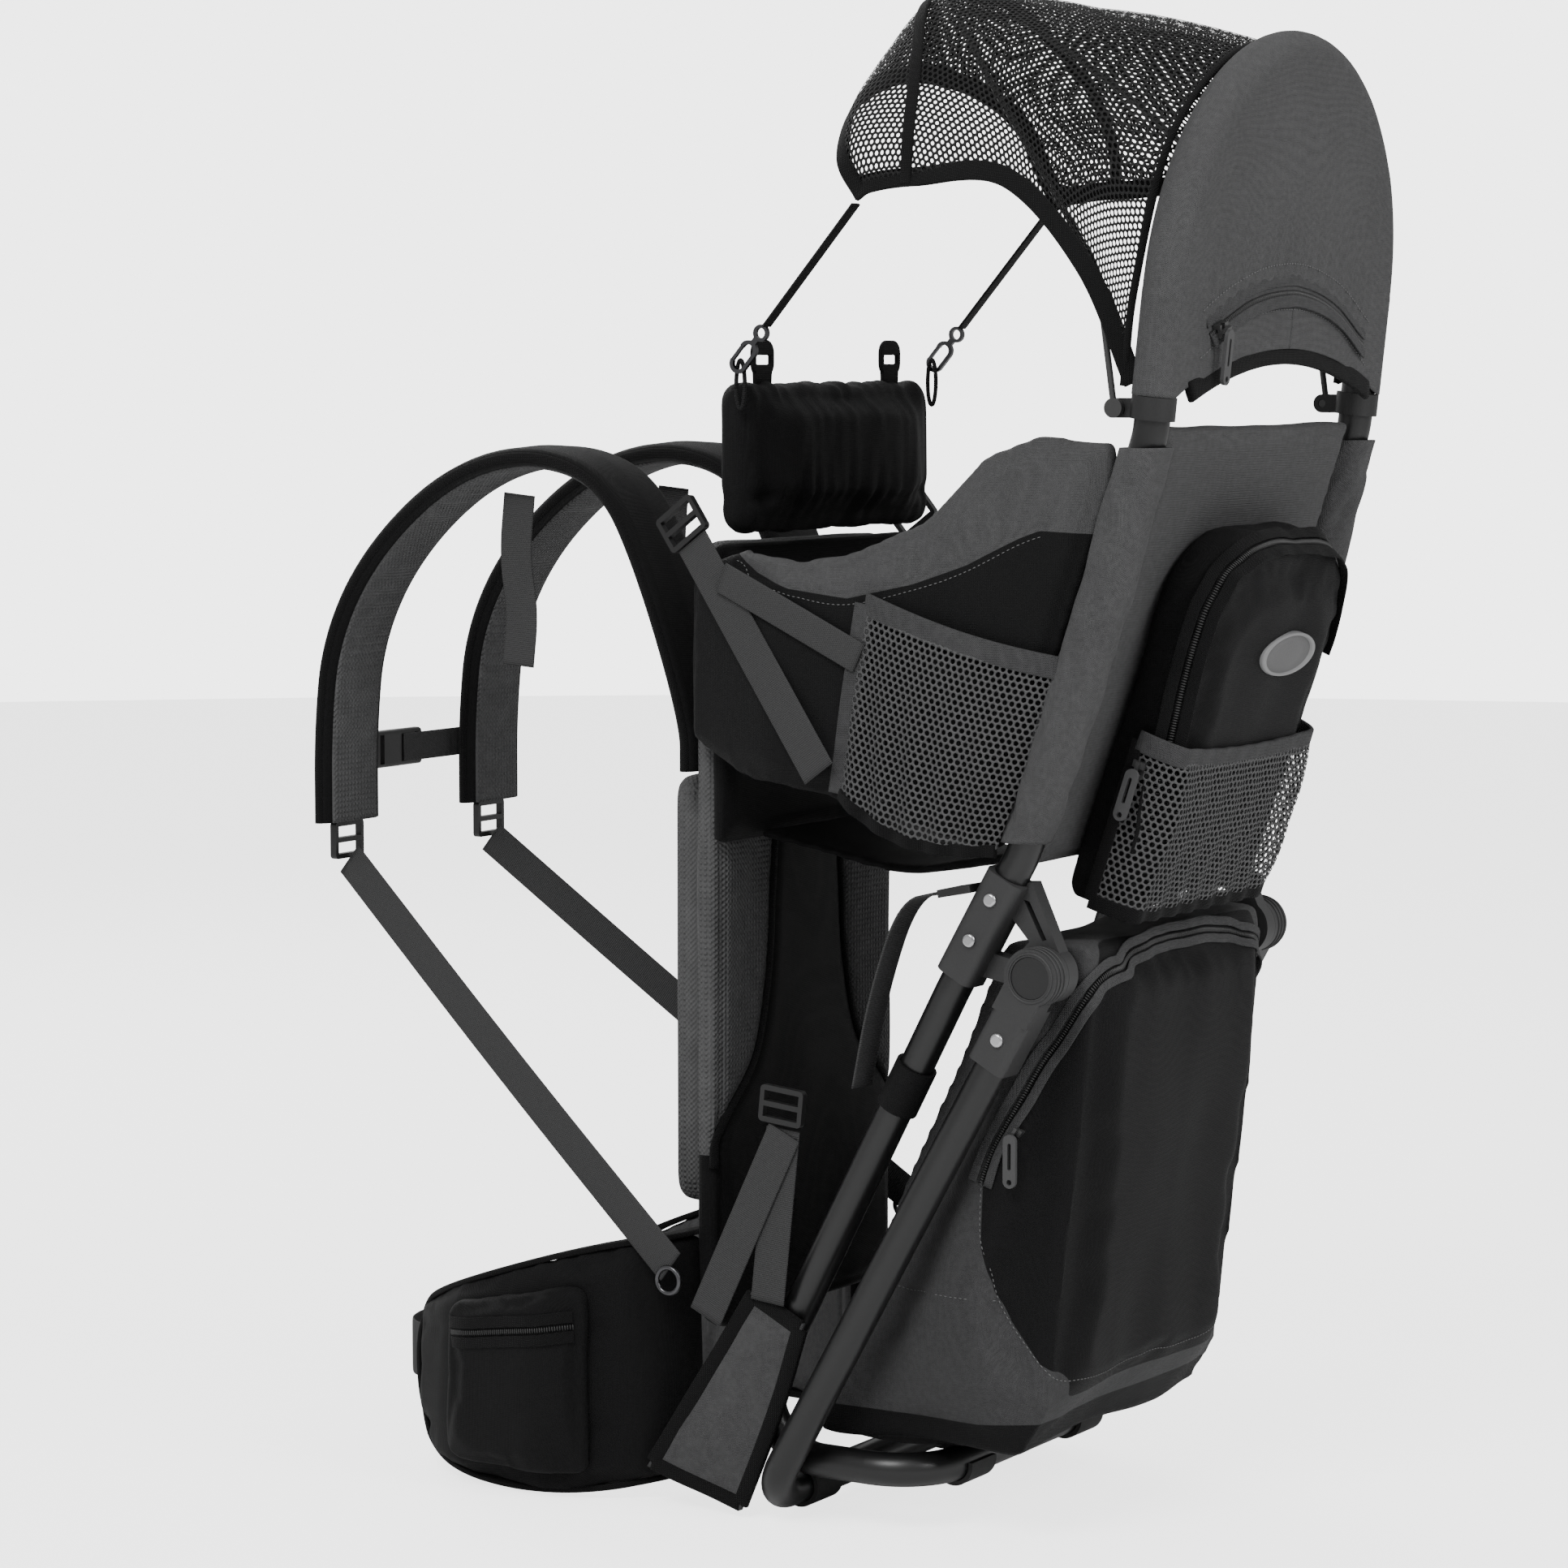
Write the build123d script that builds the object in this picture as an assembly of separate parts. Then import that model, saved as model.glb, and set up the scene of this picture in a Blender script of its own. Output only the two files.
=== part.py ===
from build123d import *
import math
import os

# Framed child carrier, millimetres. +Z is up as worn, +Y is towards the wearer's front and
# +X is the wearer's right. The origin is the middle of the face that lies on the wearer's
# back, at the height of the stand's hinge. "Left" is the wearer's left, at negative X.

# ---------------------------------------------------------------- driving dimensions
half_width = 147.0        # mid plane to the centre line of each frame tube
tube_diameter = 22.0
tube_wall = 1.5
fit = 0.3                 # clearance round a tube and beside a neighbour
seat_slope = 0.33         # rearward run of the tubes for each millimetre up, beside the seat
hood_slope = 0.107        # the same, inside the sun hood
leg_slope = 0.56          # forward run of brackets, base legs and stand for each millimetre down

bracket_y = -234.0        # bracket centre line at hinge height
bracket_top = 60.0
bracket_bottom = -4.0
bracket_wall = 2.5
hoop_low_bend = 75.0      # height of the bend above the bracket
hoop_high_bend = 333.0    # height of the bend where the hood starts
hoop_top = 567.0          # tube centre at the top of the hood
base_height = -331.0      # tube centre of the base loop
base_front_y = -52.0
base_rear_y = -196.0
bend_radius = 40.0

hub_y = -290.0
hub_radius = 18.0
hub_thickness = 30.0
hub_fixed = 12.0          # the half of the hub that belongs to the bracket
pin_diameter = 8.0
pin_head = 14.0
cap_diameter = 26.0
cap_thickness = 3.0
stand_height = -355.0     # tube centre of the stand's foot bar
socket_length = 66.0      # hub centre to the lower end of the leg socket
rivet_diameter = 4.0
rivet_head = 9.0
rivet_dome = 2.4
cross_tube_diameter = 16.0

webbing_width = 25.0
webbing_thickness = 1.6
sleeve_thickness = 2.0
panel_depth = 15.0        # padded back panel
panel_half_width = 118.0
panel_top = 262.0
panel_bottom = -262.0
panel_face_y = -15.0      # front face of the back panel
back_pad_depth = 36.7
wing_thickness = 13.0
pocket_depth = 9.0
seat_back_thickness = 8.0
daypack_depth = 50.0
daypack_half_width = 98.0
daypack_bottom = 46.0
daypack_top = 284.0
bag_top = 23.0
bag_rear_y = -316.0
strap_width = 64.0        # padded shoulder strap
strap_thickness = 14.0
strap_x = 85.0
belt_thickness = 16.0
bow_diameter = 4.0

# ---------------------------------------------------------------- places worked out from them
tube_radius = tube_diameter / 2
bore_radius = tube_radius + fit
socket_width = tube_diameter + 2 * bracket_wall
stand_x = half_width + 4.5
hub_face = stand_x + socket_width / 2
hub_back = hub_face - hub_thickness
hub_split = hub_back + hub_fixed
base_x = stand_x - tube_diameter - 2.4
stand_y = hub_y - leg_slope * stand_height
leg_length = math.hypot(1, leg_slope)
leg_up = Vector(0, -leg_slope / leg_length, 1 / leg_length)
seat_length = math.hypot(1, seat_slope)
seat_up = Vector(0, -seat_slope / seat_length, 1 / seat_length)
seat_rear = Vector(0, -1 / seat_length, -seat_slope / seat_length)
hood_length = math.hypot(1, hood_slope)
hood_up = Vector(0, -hood_slope / hood_length, 1 / hood_length)
hood_rear = Vector(0, -1 / hood_length, -hood_slope / hood_length)
sleeve_radius = bore_radius + sleeve_thickness
wing_x = half_width
bag_half_width = stand_x - tube_radius - 12


def bracket_line(height):
    """Y of the bracket's centre line at a height."""
    return bracket_y - leg_slope * height


def seat_line(height):
    """Y of the hoop tube's centre line beside the seat."""
    return bracket_line(hoop_low_bend) - seat_slope * (height - hoop_low_bend)


def hood_line(height):
    """Y of the hoop tube's centre line inside the hood."""
    return seat_line(hoop_high_bend) - hood_slope * (height - hoop_high_bend)


def stand_line(height):
    """Y of the folded stand's centre line."""
    return hub_y - leg_slope * height


# ---------------------------------------------------------------- shared shapes
def swept_tube(points, radii, outer, inner=0.0):
    """A round tube along straight runs joined by tangent arcs."""
    path = FilletPolyline(*points, radius=radii)
    start = Plane(origin=path @ 0, z_dir=path % 0)
    tube = sweep(start * Circle(outer), path=path)
    if inner:
        tube -= sweep(start * Circle(inner), path=path)
    return tube


def strap(points, radii, width, thickness, across=(1, 0, 0)):
    """Flat webbing or a padded strap along a flat path, its width lying along `across`."""
    path = FilletPolyline(*points, radius=radii) if len(points) > 2 else Line(*points)
    start = Plane(origin=path @ 0, x_dir=across, z_dir=path % 0)
    return sweep(start * Rectangle(width, thickness), path=path)


def plate_between(start, end, width, thickness, across):
    """A straight flat strip from one point to another."""
    start, end = Vector(*start), Vector(*end)
    run = end - start
    side = (Vector(*across) - run.normalized() * Vector(*across).dot(run.normalized())).normalized()
    plane = Plane(origin=(start + end) * 0.5, x_dir=side, z_dir=run.normalized())
    return plane * Box(width, thickness, run.length)


def rod(start, end, radius, inner=0.0):
    """A straight round bar, or a hollow one."""
    start, end = Vector(*start), Vector(*end)
    plane = Plane(origin=(start + end) * 0.5, z_dir=(end - start).normalized())
    bar = plane * Cylinder(radius, (end - start).length)
    if inner:
        bar -= plane * Cylinder(inner, (end - start).length + 1)
    return bar


def side_profile(points, x_from, x_to, radius=0.0):
    """A flat outline in Y and Z, drawn out along X."""
    wire = Polyline(*[(y, z) for y, z in points], close=True)
    face = make_face(Plane.YZ * wire)
    if radius:
        face = fillet(face.vertices(), radius)
    return Pos(x_from, 0, 0) * extrude(face, amount=x_to - x_from, dir=(1, 0, 0))


def soft_box(x_size, y_size, z_size, radius):
    """A cushion-like block with all its edges rounded."""
    block = Box(x_size, y_size, z_size)
    return fillet(block.edges(), radius)


def mirrored(shape):
    return mirror(shape, about=Plane.YZ)


def both(left):
    """The left-hand solid and its mirror image, as two solids of one group."""
    return Compound(children=[*left.solids(), *mirrored(left).solids()])


def sheet_solid(rows, thickness):
    """A closed thin solid on a grid of points, thickened downwards along the grid's normals."""
    last_row, last_column = len(rows) - 1, len(rows[0]) - 1
    outer = [[Vector(*point) for point in row] for row in rows]
    inner = []
    for i in range(last_row + 1):
        inner.append([])
        for j in range(last_column + 1):
            along = outer[min(i + 1, last_row)][j] - outer[max(i - 1, 0)][j]
            across = outer[i][min(j + 1, last_column)] - outer[i][max(j - 1, 0)]
            inner[i].append(outer[i][j] + along.cross(across).normalized() * thickness)
    faces = []

    def quad(a, b, c, d):
        for corners in ((a, b, c), (a, c, d)):
            faces.append(Face(Wire.make_polygon(corners, close=True)))

    for i in range(last_row):
        for j in range(last_column):
            for grid in (outer, inner):
                quad(grid[i][j], grid[i][j + 1], grid[i + 1][j + 1], grid[i + 1][j])
    for i in range(last_row):
        for j in (0, last_column):
            quad(outer[i][j], outer[i + 1][j], inner[i + 1][j], inner[i][j])
    for j in range(last_column):
        for i in (0, last_row):
            quad(outer[i][j], outer[i][j + 1], inner[i][j + 1], inner[i][j])
    solid = Solid(Shell(faces))
    if solid.volume < 0:
        solid = Solid(Shell([-face for face in faces]))
    return solid


nodes = {}

# ---------------------------------------------------------------- frame tubes
tube_split = (bracket_top + bracket_bottom) / 2 + 6
hoop_radius = half_width - 0.5
hoop_points = [
    (-half_width, bracket_line(tube_split + fit), tube_split + fit),
    (-half_width, bracket_line(hoop_low_bend), hoop_low_bend),
    (-half_width, seat_line(hoop_high_bend), hoop_high_bend),
    (-half_width, hood_line(hoop_top), hoop_top),
]
hoop_points += [(-x, y, z) for x, y, z in reversed(hoop_points)]
hoop_radii = [60, 60, hoop_radius, hoop_radius, 60, 60]
inner_radius = tube_radius - tube_wall
upper_hoop = swept_tube(hoop_points, hoop_radii, tube_radius, inner_radius)

base_points = [
    (-half_width, bracket_line(tube_split - fit), tube_split - fit),
    (-half_width, bracket_line(bracket_bottom - 10), bracket_bottom - 10),
    (-base_x, base_front_y, base_height),
    (-base_x, base_rear_y, base_height),
]
base_points += [(-x, y, z) for x, y, z in reversed(base_points)]
base_radii = [60, bend_radius, bend_radius, bend_radius, bend_radius, 60]
base_frame = swept_tube(base_points, base_radii, tube_radius, inner_radius)

# ---------------------------------------------------------------- bracket, hinge hub and rivets
bracket_length = (bracket_top - bracket_bottom) * leg_length
bracket_middle = (bracket_top + bracket_bottom) / 2
bracket_plane = Plane(
    origin=(-half_width, bracket_line(bracket_middle), bracket_middle), x_dir=(1, 0, 0), z_dir=leg_up
)
bracket_block = Box(socket_width, socket_width, bracket_length)
bracket = bracket_plane * fillet(bracket_block.edges().filter_by(Axis.Z), 7)
strut = side_profile(
    [
        (bracket_line(bracket_top - 4), bracket_top - 4),
        (bracket_line(bracket_top) - 14, bracket_top - 3),
        (hub_y - 11, 14),
        (hub_y + 15, -9),
        (bracket_line(2), -2),
    ],
    -hub_split,
    -hub_back,
)
strut -= side_profile([(-276, 46), (-280, 45), (-292, 22), (-289, 21)], -hub_split - 1, -hub_back + 1)
strut -= side_profile([(-264, 38), (-280, 20), (-268, 8), (-250, 12)], -hub_split - 1, -hub_back + 1)
bracket += strut
bracket += rod((-hub_split, hub_y, 0), (-hub_back, hub_y, 0), hub_radius)
bracket -= bracket_plane * Cylinder(bore_radius, bracket_length + 40)
bracket -= rod((-hub_split - 1, hub_y, 0), (-hub_back - 3, hub_y, 0), pin_diameter / 2)

rivet_heights = (tube_split + 12, tube_split - 14)


def rivet(x_middle, y, z):
    """A domed rivet across a socket, from face to face."""
    reach = socket_width / 2
    body = rod((x_middle - reach, y, z), (x_middle + reach, y, z), rivet_diameter / 2)
    for side in (-1, 1):
        seat = Plane(origin=(x_middle + side * reach, y, z), z_dir=(side, 0, 0))
        dome = Cylinder(rivet_head / 2, rivet_dome, align=(Align.CENTER, Align.CENTER, Align.MIN))
        body += seat * fillet(dome.edges().sort_by(Axis.Z)[-1], rivet_dome * 0.8)
    return body


def rivet_hole(x_middle, y, z):
    reach = socket_width
    return rod((x_middle - reach, y, z), (x_middle + reach, y, z), rivet_diameter / 2 + fit / 2)


bracket_rivets = []
for height in rivet_heights:
    place = (-half_width, bracket_line(height), height)
    bracket_rivets.append(rivet(*place))
    hole = rivet_hole(*place)
    bracket -= hole
    head_seat = Vector(*place) + Vector(socket_width / 2, 0, 0)
    bracket -= rod(tuple(head_seat), tuple(head_seat + Vector(socket_width, 0, 0)), rivet_head / 2 + fit)
    for mirrored_hole in (hole, mirrored(hole)):
        if height > tube_split:
            upper_hoop -= mirrored_hole
        else:
            base_frame -= mirrored_hole

nodes["frame_bracket_left"] = bracket
nodes["frame_bracket_right"] = mirrored(bracket)
nodes["bracket_rivets"] = Compound(
    children=[solid for item in bracket_rivets for solid in (item.solid(), mirrored(item).solid())]
)
nodes["hub_cross_tube"] = rod(
    (-hub_back + fit, hub_y, 0), (hub_back - fit, hub_y, 0), cross_tube_diameter / 2,
    cross_tube_diameter / 2 - tube_wall,
)

# ---------------------------------------------------------------- folding stand
leg_down = leg_up * -1


def along_leg(distance, x=-stand_x):
    """A point on the folded stand's leg, measured from the hinge."""
    return Vector(x, hub_y, 0) + leg_down * distance


socket = rod((-hub_face, hub_y, 0), (-hub_split - fit, hub_y, 0), hub_radius)
neck_plane = Plane(origin=along_leg(15, -(hub_face + hub_split + fit) / 2), x_dir=(1, 0, 0), z_dir=leg_down)
socket += neck_plane * Box(hub_face - hub_split - fit, socket_width, 30)
socket_start = hub_radius + 1
socket_plane = Plane(origin=along_leg((socket_start + socket_length) / 2), x_dir=(1, 0, 0), z_dir=leg_down)
socket_block = Box(socket_width, socket_width, socket_length - socket_start)
socket += socket_plane * fillet(socket_block.edges().filter_by(Axis.Z), 5)
socket -= rod(along_leg(24), along_leg(socket_length + 1), bore_radius)
socket -= rod((-hub_face - 1, hub_y, 0), (-hub_split + 1, hub_y, 0), pin_diameter / 2 + fit / 2)
cap_seat = hub_face - cap_thickness
socket -= rod((-cap_seat, hub_y, 0), (-cap_seat + 4, hub_y, 0), pin_head / 2 + fit)
socket -= rod((-hub_face - 1, hub_y, 0), (-cap_seat, hub_y, 0), cap_diameter / 2 + fit)

stand_points = [
    tuple(along_leg(24.5)),
    (-stand_x, stand_y, stand_height),
    (stand_x, stand_y, stand_height),
    tuple(along_leg(24.5, stand_x)),
]
stand_tube = swept_tube(stand_points, 30, tube_radius, inner_radius)
stand_rivet_place = tuple(along_leg(46))
stand_hole = rivet_hole(*stand_rivet_place)
socket -= stand_hole
stand_tube -= stand_hole
stand_tube -= mirrored(stand_hole)
hinge_pin = rod((-cap_seat + fit, hub_y, 0), (-hub_back - 3, hub_y, 0), pin_diameter / 2)
hinge_pin += rod((-cap_seat + fit, hub_y, 0), (-cap_seat + 4 - fit, hub_y, 0), pin_head / 2)
hub_cap = rod((-hub_face + 0.6, hub_y, 0), (-cap_seat, hub_y, 0), cap_diameter / 2)

nodes["kickstand_tube"] = stand_tube
nodes["leg_sockets"] = both(socket)
nodes["hinge_pins"] = both(hinge_pin)
nodes["hub_caps"] = both(hub_cap)
nodes["stand_rivets"] = both(rivet(*stand_rivet_place))

pad_wall = 3.0
pad_length = 32.0
stand_pad_x = stand_x - 58
stand_pad = rod(
    (-stand_pad_x - pad_length / 2, stand_y, stand_height),
    (-stand_pad_x + pad_length / 2, stand_y, stand_height),
    bore_radius + pad_wall, bore_radius,
)
nodes["stand_foot_pads"] = both(stand_pad)
base_pad_x = base_x - 52
base_pad = rod(
    (-base_pad_x - pad_length / 2, base_rear_y, base_height),
    (-base_pad_x + pad_length / 2, base_rear_y, base_height),
    bore_radius + pad_wall, bore_radius,
)
base_pad &= Pos(-base_pad_x, base_rear_y, base_height - 10) * Box(pad_length, 60, 24)
nodes["base_foot_pads"] = both(base_pad)

collar_height = -78.0
leg_run = (Vector(*base_points[2]) - Vector(*base_points[1])).normalized()
collar_middle = Vector(*base_points[1]) + leg_run * ((base_points[1][2] - collar_height) / -leg_run.Z)
collar = rod(collar_middle - leg_run * 16, collar_middle + leg_run * 16, bore_radius + 2.2, bore_radius)
nodes["tube_collars"] = both(collar)

nodes["upper_hoop_tube"] = upper_hoop
nodes["base_frame_tube"] = base_frame

# ---------------------------------------------------------------- sleeves and hood
sleeve_low = hoop_low_bend + 9
sleeve_high = hoop_high_bend - 10
sleeve = rod(
    (-half_width, seat_line(sleeve_low), sleeve_low),
    (-half_width, seat_line(sleeve_high), sleeve_high),
    sleeve_radius, bore_radius,
)
nodes["tube_sleeves"] = both(sleeve)

clip_low = hoop_high_bend + 9
clip_high = clip_low + 14
clip_ends = [(-half_width, hood_line(z), z) for z in (clip_low, clip_high)]
clip = rod(*clip_ends, sleeve_radius + 0.5)
bow_pivot_z = clip_low + 7
bow_pivot_y = hood_line(bow_pivot_z) + 24
ear_half = 2.5
clip += Pos(-half_width, bow_pivot_y - 8, bow_pivot_z) * Box(2 * ear_half, 16, 12)
clip += rod((-half_width - ear_half, bow_pivot_y, bow_pivot_z),
            (-half_width + ear_half, bow_pivot_y, bow_pivot_z), 6)
clip -= rod((-half_width, hood_line(clip_low - 9), clip_low - 9),
            (-half_width, hood_line(clip_high + 9), clip_high + 9), bore_radius)
bow_stub = 2.5
clip -= rod((-half_width - 4, bow_pivot_y, bow_pivot_z),
            (-half_width + 4, bow_pivot_y, bow_pivot_z), bow_stub + fit / 2)
nodes["bow_clips"] = both(clip)

hood_low = clip_high + fit
hood_points = [
    (-half_width, hood_line(hood_low), hood_low),
    (-half_width, hood_line(hoop_top), hoop_top),
    (half_width, hood_line(hoop_top), hoop_top),
    (half_width, hood_line(hood_low), hood_low),
]
hood = swept_tube(hood_points, hoop_radius, sleeve_radius, bore_radius)
hood_plane = Plane(
    origin=Vector(0, hood_line(hood_low), hood_low) + hood_rear * bore_radius,
    x_dir=(1, 0, 0), z_dir=hood_rear,
)
hood_rise = (hoop_top - hood_low) * hood_length
hood_hem = 30.0
hood_sheet = sleeve_thickness


def hood_outline(reach, low, hem_rise):
    """The arch of the hood's rear panel, with its hem rising in the middle."""
    arch = hood_rise - hoop_radius
    lines = [
        Line((-reach, arch), (-reach, low)),
        ThreePointArc((-reach, low), (0, low + hem_rise), (reach, low)),
        Line((reach, low), (reach, arch)),
        ThreePointArc((reach, arch), (0, arch + reach), (-reach, arch)),
    ]
    return make_face(Wire(lines))


hood += extrude(hood_plane * hood_outline(half_width + 2, 0, hood_hem), amount=hood_sheet)
nodes["hood_panel"] = hood

band_width = 12.0
hood_band = extrude(
    hood_plane * make_face(Wire([
        ThreePointArc((-half_width, -fit), (0, hood_hem - fit), (half_width, -fit)),
        Line((half_width, -fit), (half_width, -band_width)),
        ThreePointArc((half_width, -band_width), (0, hood_hem - band_width), (-half_width, -band_width)),
        Line((-half_width, -band_width), (-half_width, -fit)),
    ])),
    amount=hood_sheet,
)
band_clear = sleeve_radius + 0.9           # round the clips and sleeves that the band passes
for x in (-half_width, half_width):
    hood_band -= rod(*[(x, hood_line(z), z) for z in (clip_low - 30, clip_high + 9)], band_clear)
    hood_band -= rod(*[(x, seat_line(z), z) for z in (200, hoop_high_bend + 9)], band_clear)
nodes["hood_band"] = hood_band

# ---------------------------------------------------------------- sun canopy
bow_x = half_width + ear_half + 0.5 + 2


def canopy_point(spread, reach, height):
    """A point of the canopy: its share of the hoop's radius out to the left, and its reach forward."""
    return (-spread * hoop_radius, bow_pivot_y + reach, height)


bow_points = [
    (-bow_x, bow_pivot_y, bow_pivot_z),
    (-bow_x, bow_pivot_y + 12, 432),
    canopy_point(0.901, 57.85, 488),
    canopy_point(0.628, 120.85, 553),
    canopy_point(0.314, 170.85, 600),
]
bow_points += [(-x, y, z) for x, y, z in reversed(bow_points)]
bow = swept_tube(bow_points, [40, 60, 60, 30, 30, 60, 60, 40], bow_diameter / 2)
bow_eye_radius = 6.0
for side in (-1, 1):
    turned = ((bow_x - 2, bow_x + 2, bow_eye_radius), (half_width - 2, bow_x + 1, bow_stub))
    for x_from, x_to, radius in turned:
        bow += rod((side * x_from, bow_pivot_y, bow_pivot_z), (side * x_to, bow_pivot_y, bow_pivot_z), radius)
nodes["canopy_bow"] = bow

brim_corner = canopy_point(0.887, 192.8, 478)
canopy_out = 6.0
canopy_forward = sleeve_radius + 2.1       # where the mesh is sewn, round the hood's front edge


def canopy_seam(angle):
    """A point of the seam on the hood, the angle measured up from the end of its arc."""
    reach = hoop_radius + canopy_out
    height = hoop_top - hoop_radius + reach * math.sin(math.radians(angle))
    return (-reach * math.cos(math.radians(angle)), hood_line(height) + canopy_forward, height)


seam_low = clip_high + 6
canopy_left = [
    [(-hoop_radius - canopy_out, hood_line(seam_low) + canopy_forward, seam_low),
     canopy_seam(0), canopy_seam(35), canopy_seam(65), canopy_seam(90)],
    [canopy_point(1.092, 20.8, 432), canopy_point(1.065, 20.8, 478), canopy_point(0.922, 26.8, 528),
     canopy_point(0.532, 35.8, 575), canopy_point(0, 42.8, 597)],
    [canopy_point(1.044, 76.8, 484), canopy_point(0.997, 78.8, 516), canopy_point(0.819, 88.8, 554),
     canopy_point(0.478, 100.8, 591), canopy_point(0, 108.8, 605)],
    [canopy_point(0.969, 143.8, 486), canopy_point(0.928, 143.8, 520), canopy_point(0.758, 156.8, 562),
     canopy_point(0.423, 178.8, 606), canopy_point(0, 182.8, 612)],
    [brim_corner, canopy_point(0.894, 205.8, 502), canopy_point(0.737, 210.8, 532),
     canopy_point(0.410, 214.8, 551), canopy_point(0, 219.8, 558)],
]
canopy_rows = [row + [(-x, y, z) for x, y, z in reversed(row[:-1])] for row in canopy_left]
canopy = sheet_solid(canopy_rows, 1.6)
nodes["canopy_mesh"] = canopy

# ---------------------------------------------------------------- tie straps, hooks and loops
tie_x = -brim_corner[0] - 3
tie_width = 10.0
tie_top = (-tie_x, brim_corner[1] + 3, brim_corner[2] - 3)
tie_low = (-tie_x, -77.0, 399.0)
tie_strap = plate_between(tie_top, tie_low, tie_width, webbing_thickness, (1, 0, 0))
nodes["tie_straps"] = both(tie_strap)

tie_run = (Vector(*tie_low) - Vector(*tie_top)).normalized()
hook_plane = Plane(origin=Vector(*tie_low) + tie_run * fit, x_dir=tie_run, z_dir=(1, 0, 0))
hook_thickness = 3.0


def slotted(length, width, wall):
    """A flat link with rounded ends."""
    return SlotOverall(length, width) - SlotOverall(length - 2 * wall, width - 2 * wall)


link_length, link_width, hook_wire = 24.0, 13.0, 2.6
eye = 5.5
hook_face = Pos(eye, 0) * (Circle(eye) - Circle(eye - 2.2))
hook_face += Pos(2 * eye + 1, 0) * Rectangle(4, 4)
link_middle = 2 * eye + 2.5 + link_length / 2
gate_length = 11.0
gate_gap = Pos(link_middle + 1, link_width / 2) * Rectangle(gate_length, 2 * hook_wire + 1)
hook_face += Pos(link_middle, 0) * slotted(link_length, link_width, hook_wire) - gate_gap
hook = extrude(hook_plane * hook_face, amount=hook_thickness / 2, both=True)
gate_middle = Pos(link_middle + 1, link_width / 2 - hook_wire / 2)
gate_face = gate_middle * Rectangle(gate_length - 2 * fit, hook_wire - 0.4)
gate = extrude(hook_plane * gate_face, amount=hook_thickness / 2 - 0.4, both=True)
gate_root = Vector(link_middle + 2 - gate_length / 2, link_width / 2 - hook_wire / 2, 0)
gate_hinge = hook_plane.from_local_coords(gate_root)
nodes["snap_hooks"] = both(hook)
nodes["hook_gates"] = both(gate)

# ---------------------------------------------------------------- seat: back, wings, front and sling
seat_back_low = bracket_top + 4
seat_back_high = clip_low - 3
seat_back_reach = half_width - sleeve_radius - fit
seat_back = strap(
    [
        (0, seat_line(seat_back_low), seat_back_low),
        (0, seat_line(seat_back_high), seat_back_high),
    ],
    [], 2 * seat_back_reach, seat_back_thickness,
)
nodes["seat_back"] = seat_back

wing_front = Vector(-panel_half_width - 7, -22, 0)
wing_heights = (60.0, 345.0)


def wing_plan(thickness):
    """The side panel's plan: straight along the side, then turning in behind the wearer."""
    height = wing_heights[1] - wing_heights[0]
    middle = sum(wing_heights) / 2
    points = [(-wing_x, -340, middle), (-wing_x, -95, middle), (wing_front.X, wing_front.Y, middle)]
    return strap(points, 60, height, thickness, across=(0, 0, 1))


wing_outline = [
    (seat_line(72) + 6, 72), (-200, 86), (-140, 101), (-70, 111), (-6, 140), (-4, 176),
    (-26, 246), (-70, 258), (-116, 252), (-154, 258), (-207, 279), (-250, 320),
    (-287, 333), (seat_line(327) + 6, 327),
]
wing = wing_plan(wing_thickness) & side_profile(wing_outline, -half_width - 30, -60, 8)
wing -= rod((-half_width, seat_line(40), 40), (-half_width, seat_line(360), 360), sleeve_radius + fit)
panel_keep_out = Pos(0, panel_face_y - panel_depth / 2, 0) * Box(
    2 * (panel_half_width + fit), panel_depth + 2 * fit, 2 * panel_top + 2 * fit
)
wing -= panel_keep_out
nodes["seat_wing_left"] = wing
nodes["seat_wing_right"] = mirrored(wing)

front_panel_y = panel_face_y - panel_depth - fit
front_panel_thickness = 10.0
front_panel_low = 62.0
front_panel = Pos(0, front_panel_y - front_panel_thickness / 2, (front_panel_low + panel_top) / 2) * Box(
    2 * half_width, front_panel_thickness, panel_top - front_panel_low
)
wing_keep_out = wing_plan(wing_thickness + 2 * fit)
front_panel -= wing_keep_out
front_panel -= mirrored(wing_keep_out)
front_panel = front_panel.solids().sort_by(Axis.X)[len(front_panel.solids()) // 2]
nodes["front_panel"] = front_panel

front_pad_half_width = 122.0
front_pad_depth = 32.0
front_pad_height = 104.0
front_pad = Pos(0, -46, panel_top + fit + front_pad_height / 2) * soft_box(
    2 * front_pad_half_width, front_pad_depth, front_pad_height, 14
)
nodes["front_pad"] = front_pad

sling_width = 150.0
sling = strap(
    [
        (0, seat_line(seat_back_low) + seat_back_thickness / 2 + 1.3, seat_back_low + 6),
        (0, -150, 48),
        (0, front_panel_y - front_panel_thickness - 0.5, front_panel_low + 6),
    ],
    120, sling_width, 6,
)
back_keep_out = seat_back_thickness + 2 * fit
front_keep_out = front_panel_thickness + 2 * fit
sling -= strap([(0, seat_line(20), 20), (0, seat_line(120), 120)], [], 2 * half_width, back_keep_out)
sling -= Pos(0, front_panel_y - front_panel_thickness / 2, 100) * Box(2 * half_width, front_keep_out, 200)
nodes["seat_sling"] = sling.solids().sort_by(SortBy.VOLUME)[-1]

pad_loop_x = 82.0
pad_top = panel_top + fit + front_pad_height
loop_outer = Plane(origin=(-pad_loop_x, -46, pad_top + fit), x_dir=(1, 0, 0), z_dir=(0, 1, 0))
loop_face = Pos(0, -12) * (RectangleRounded(26, 24, 9) - Pos(0, 1) * Rectangle(18, 6))
pad_loop = extrude(loop_outer * loop_face, amount=1.5, both=True)
nodes["pad_loops"] = both(pad_loop)

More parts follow.
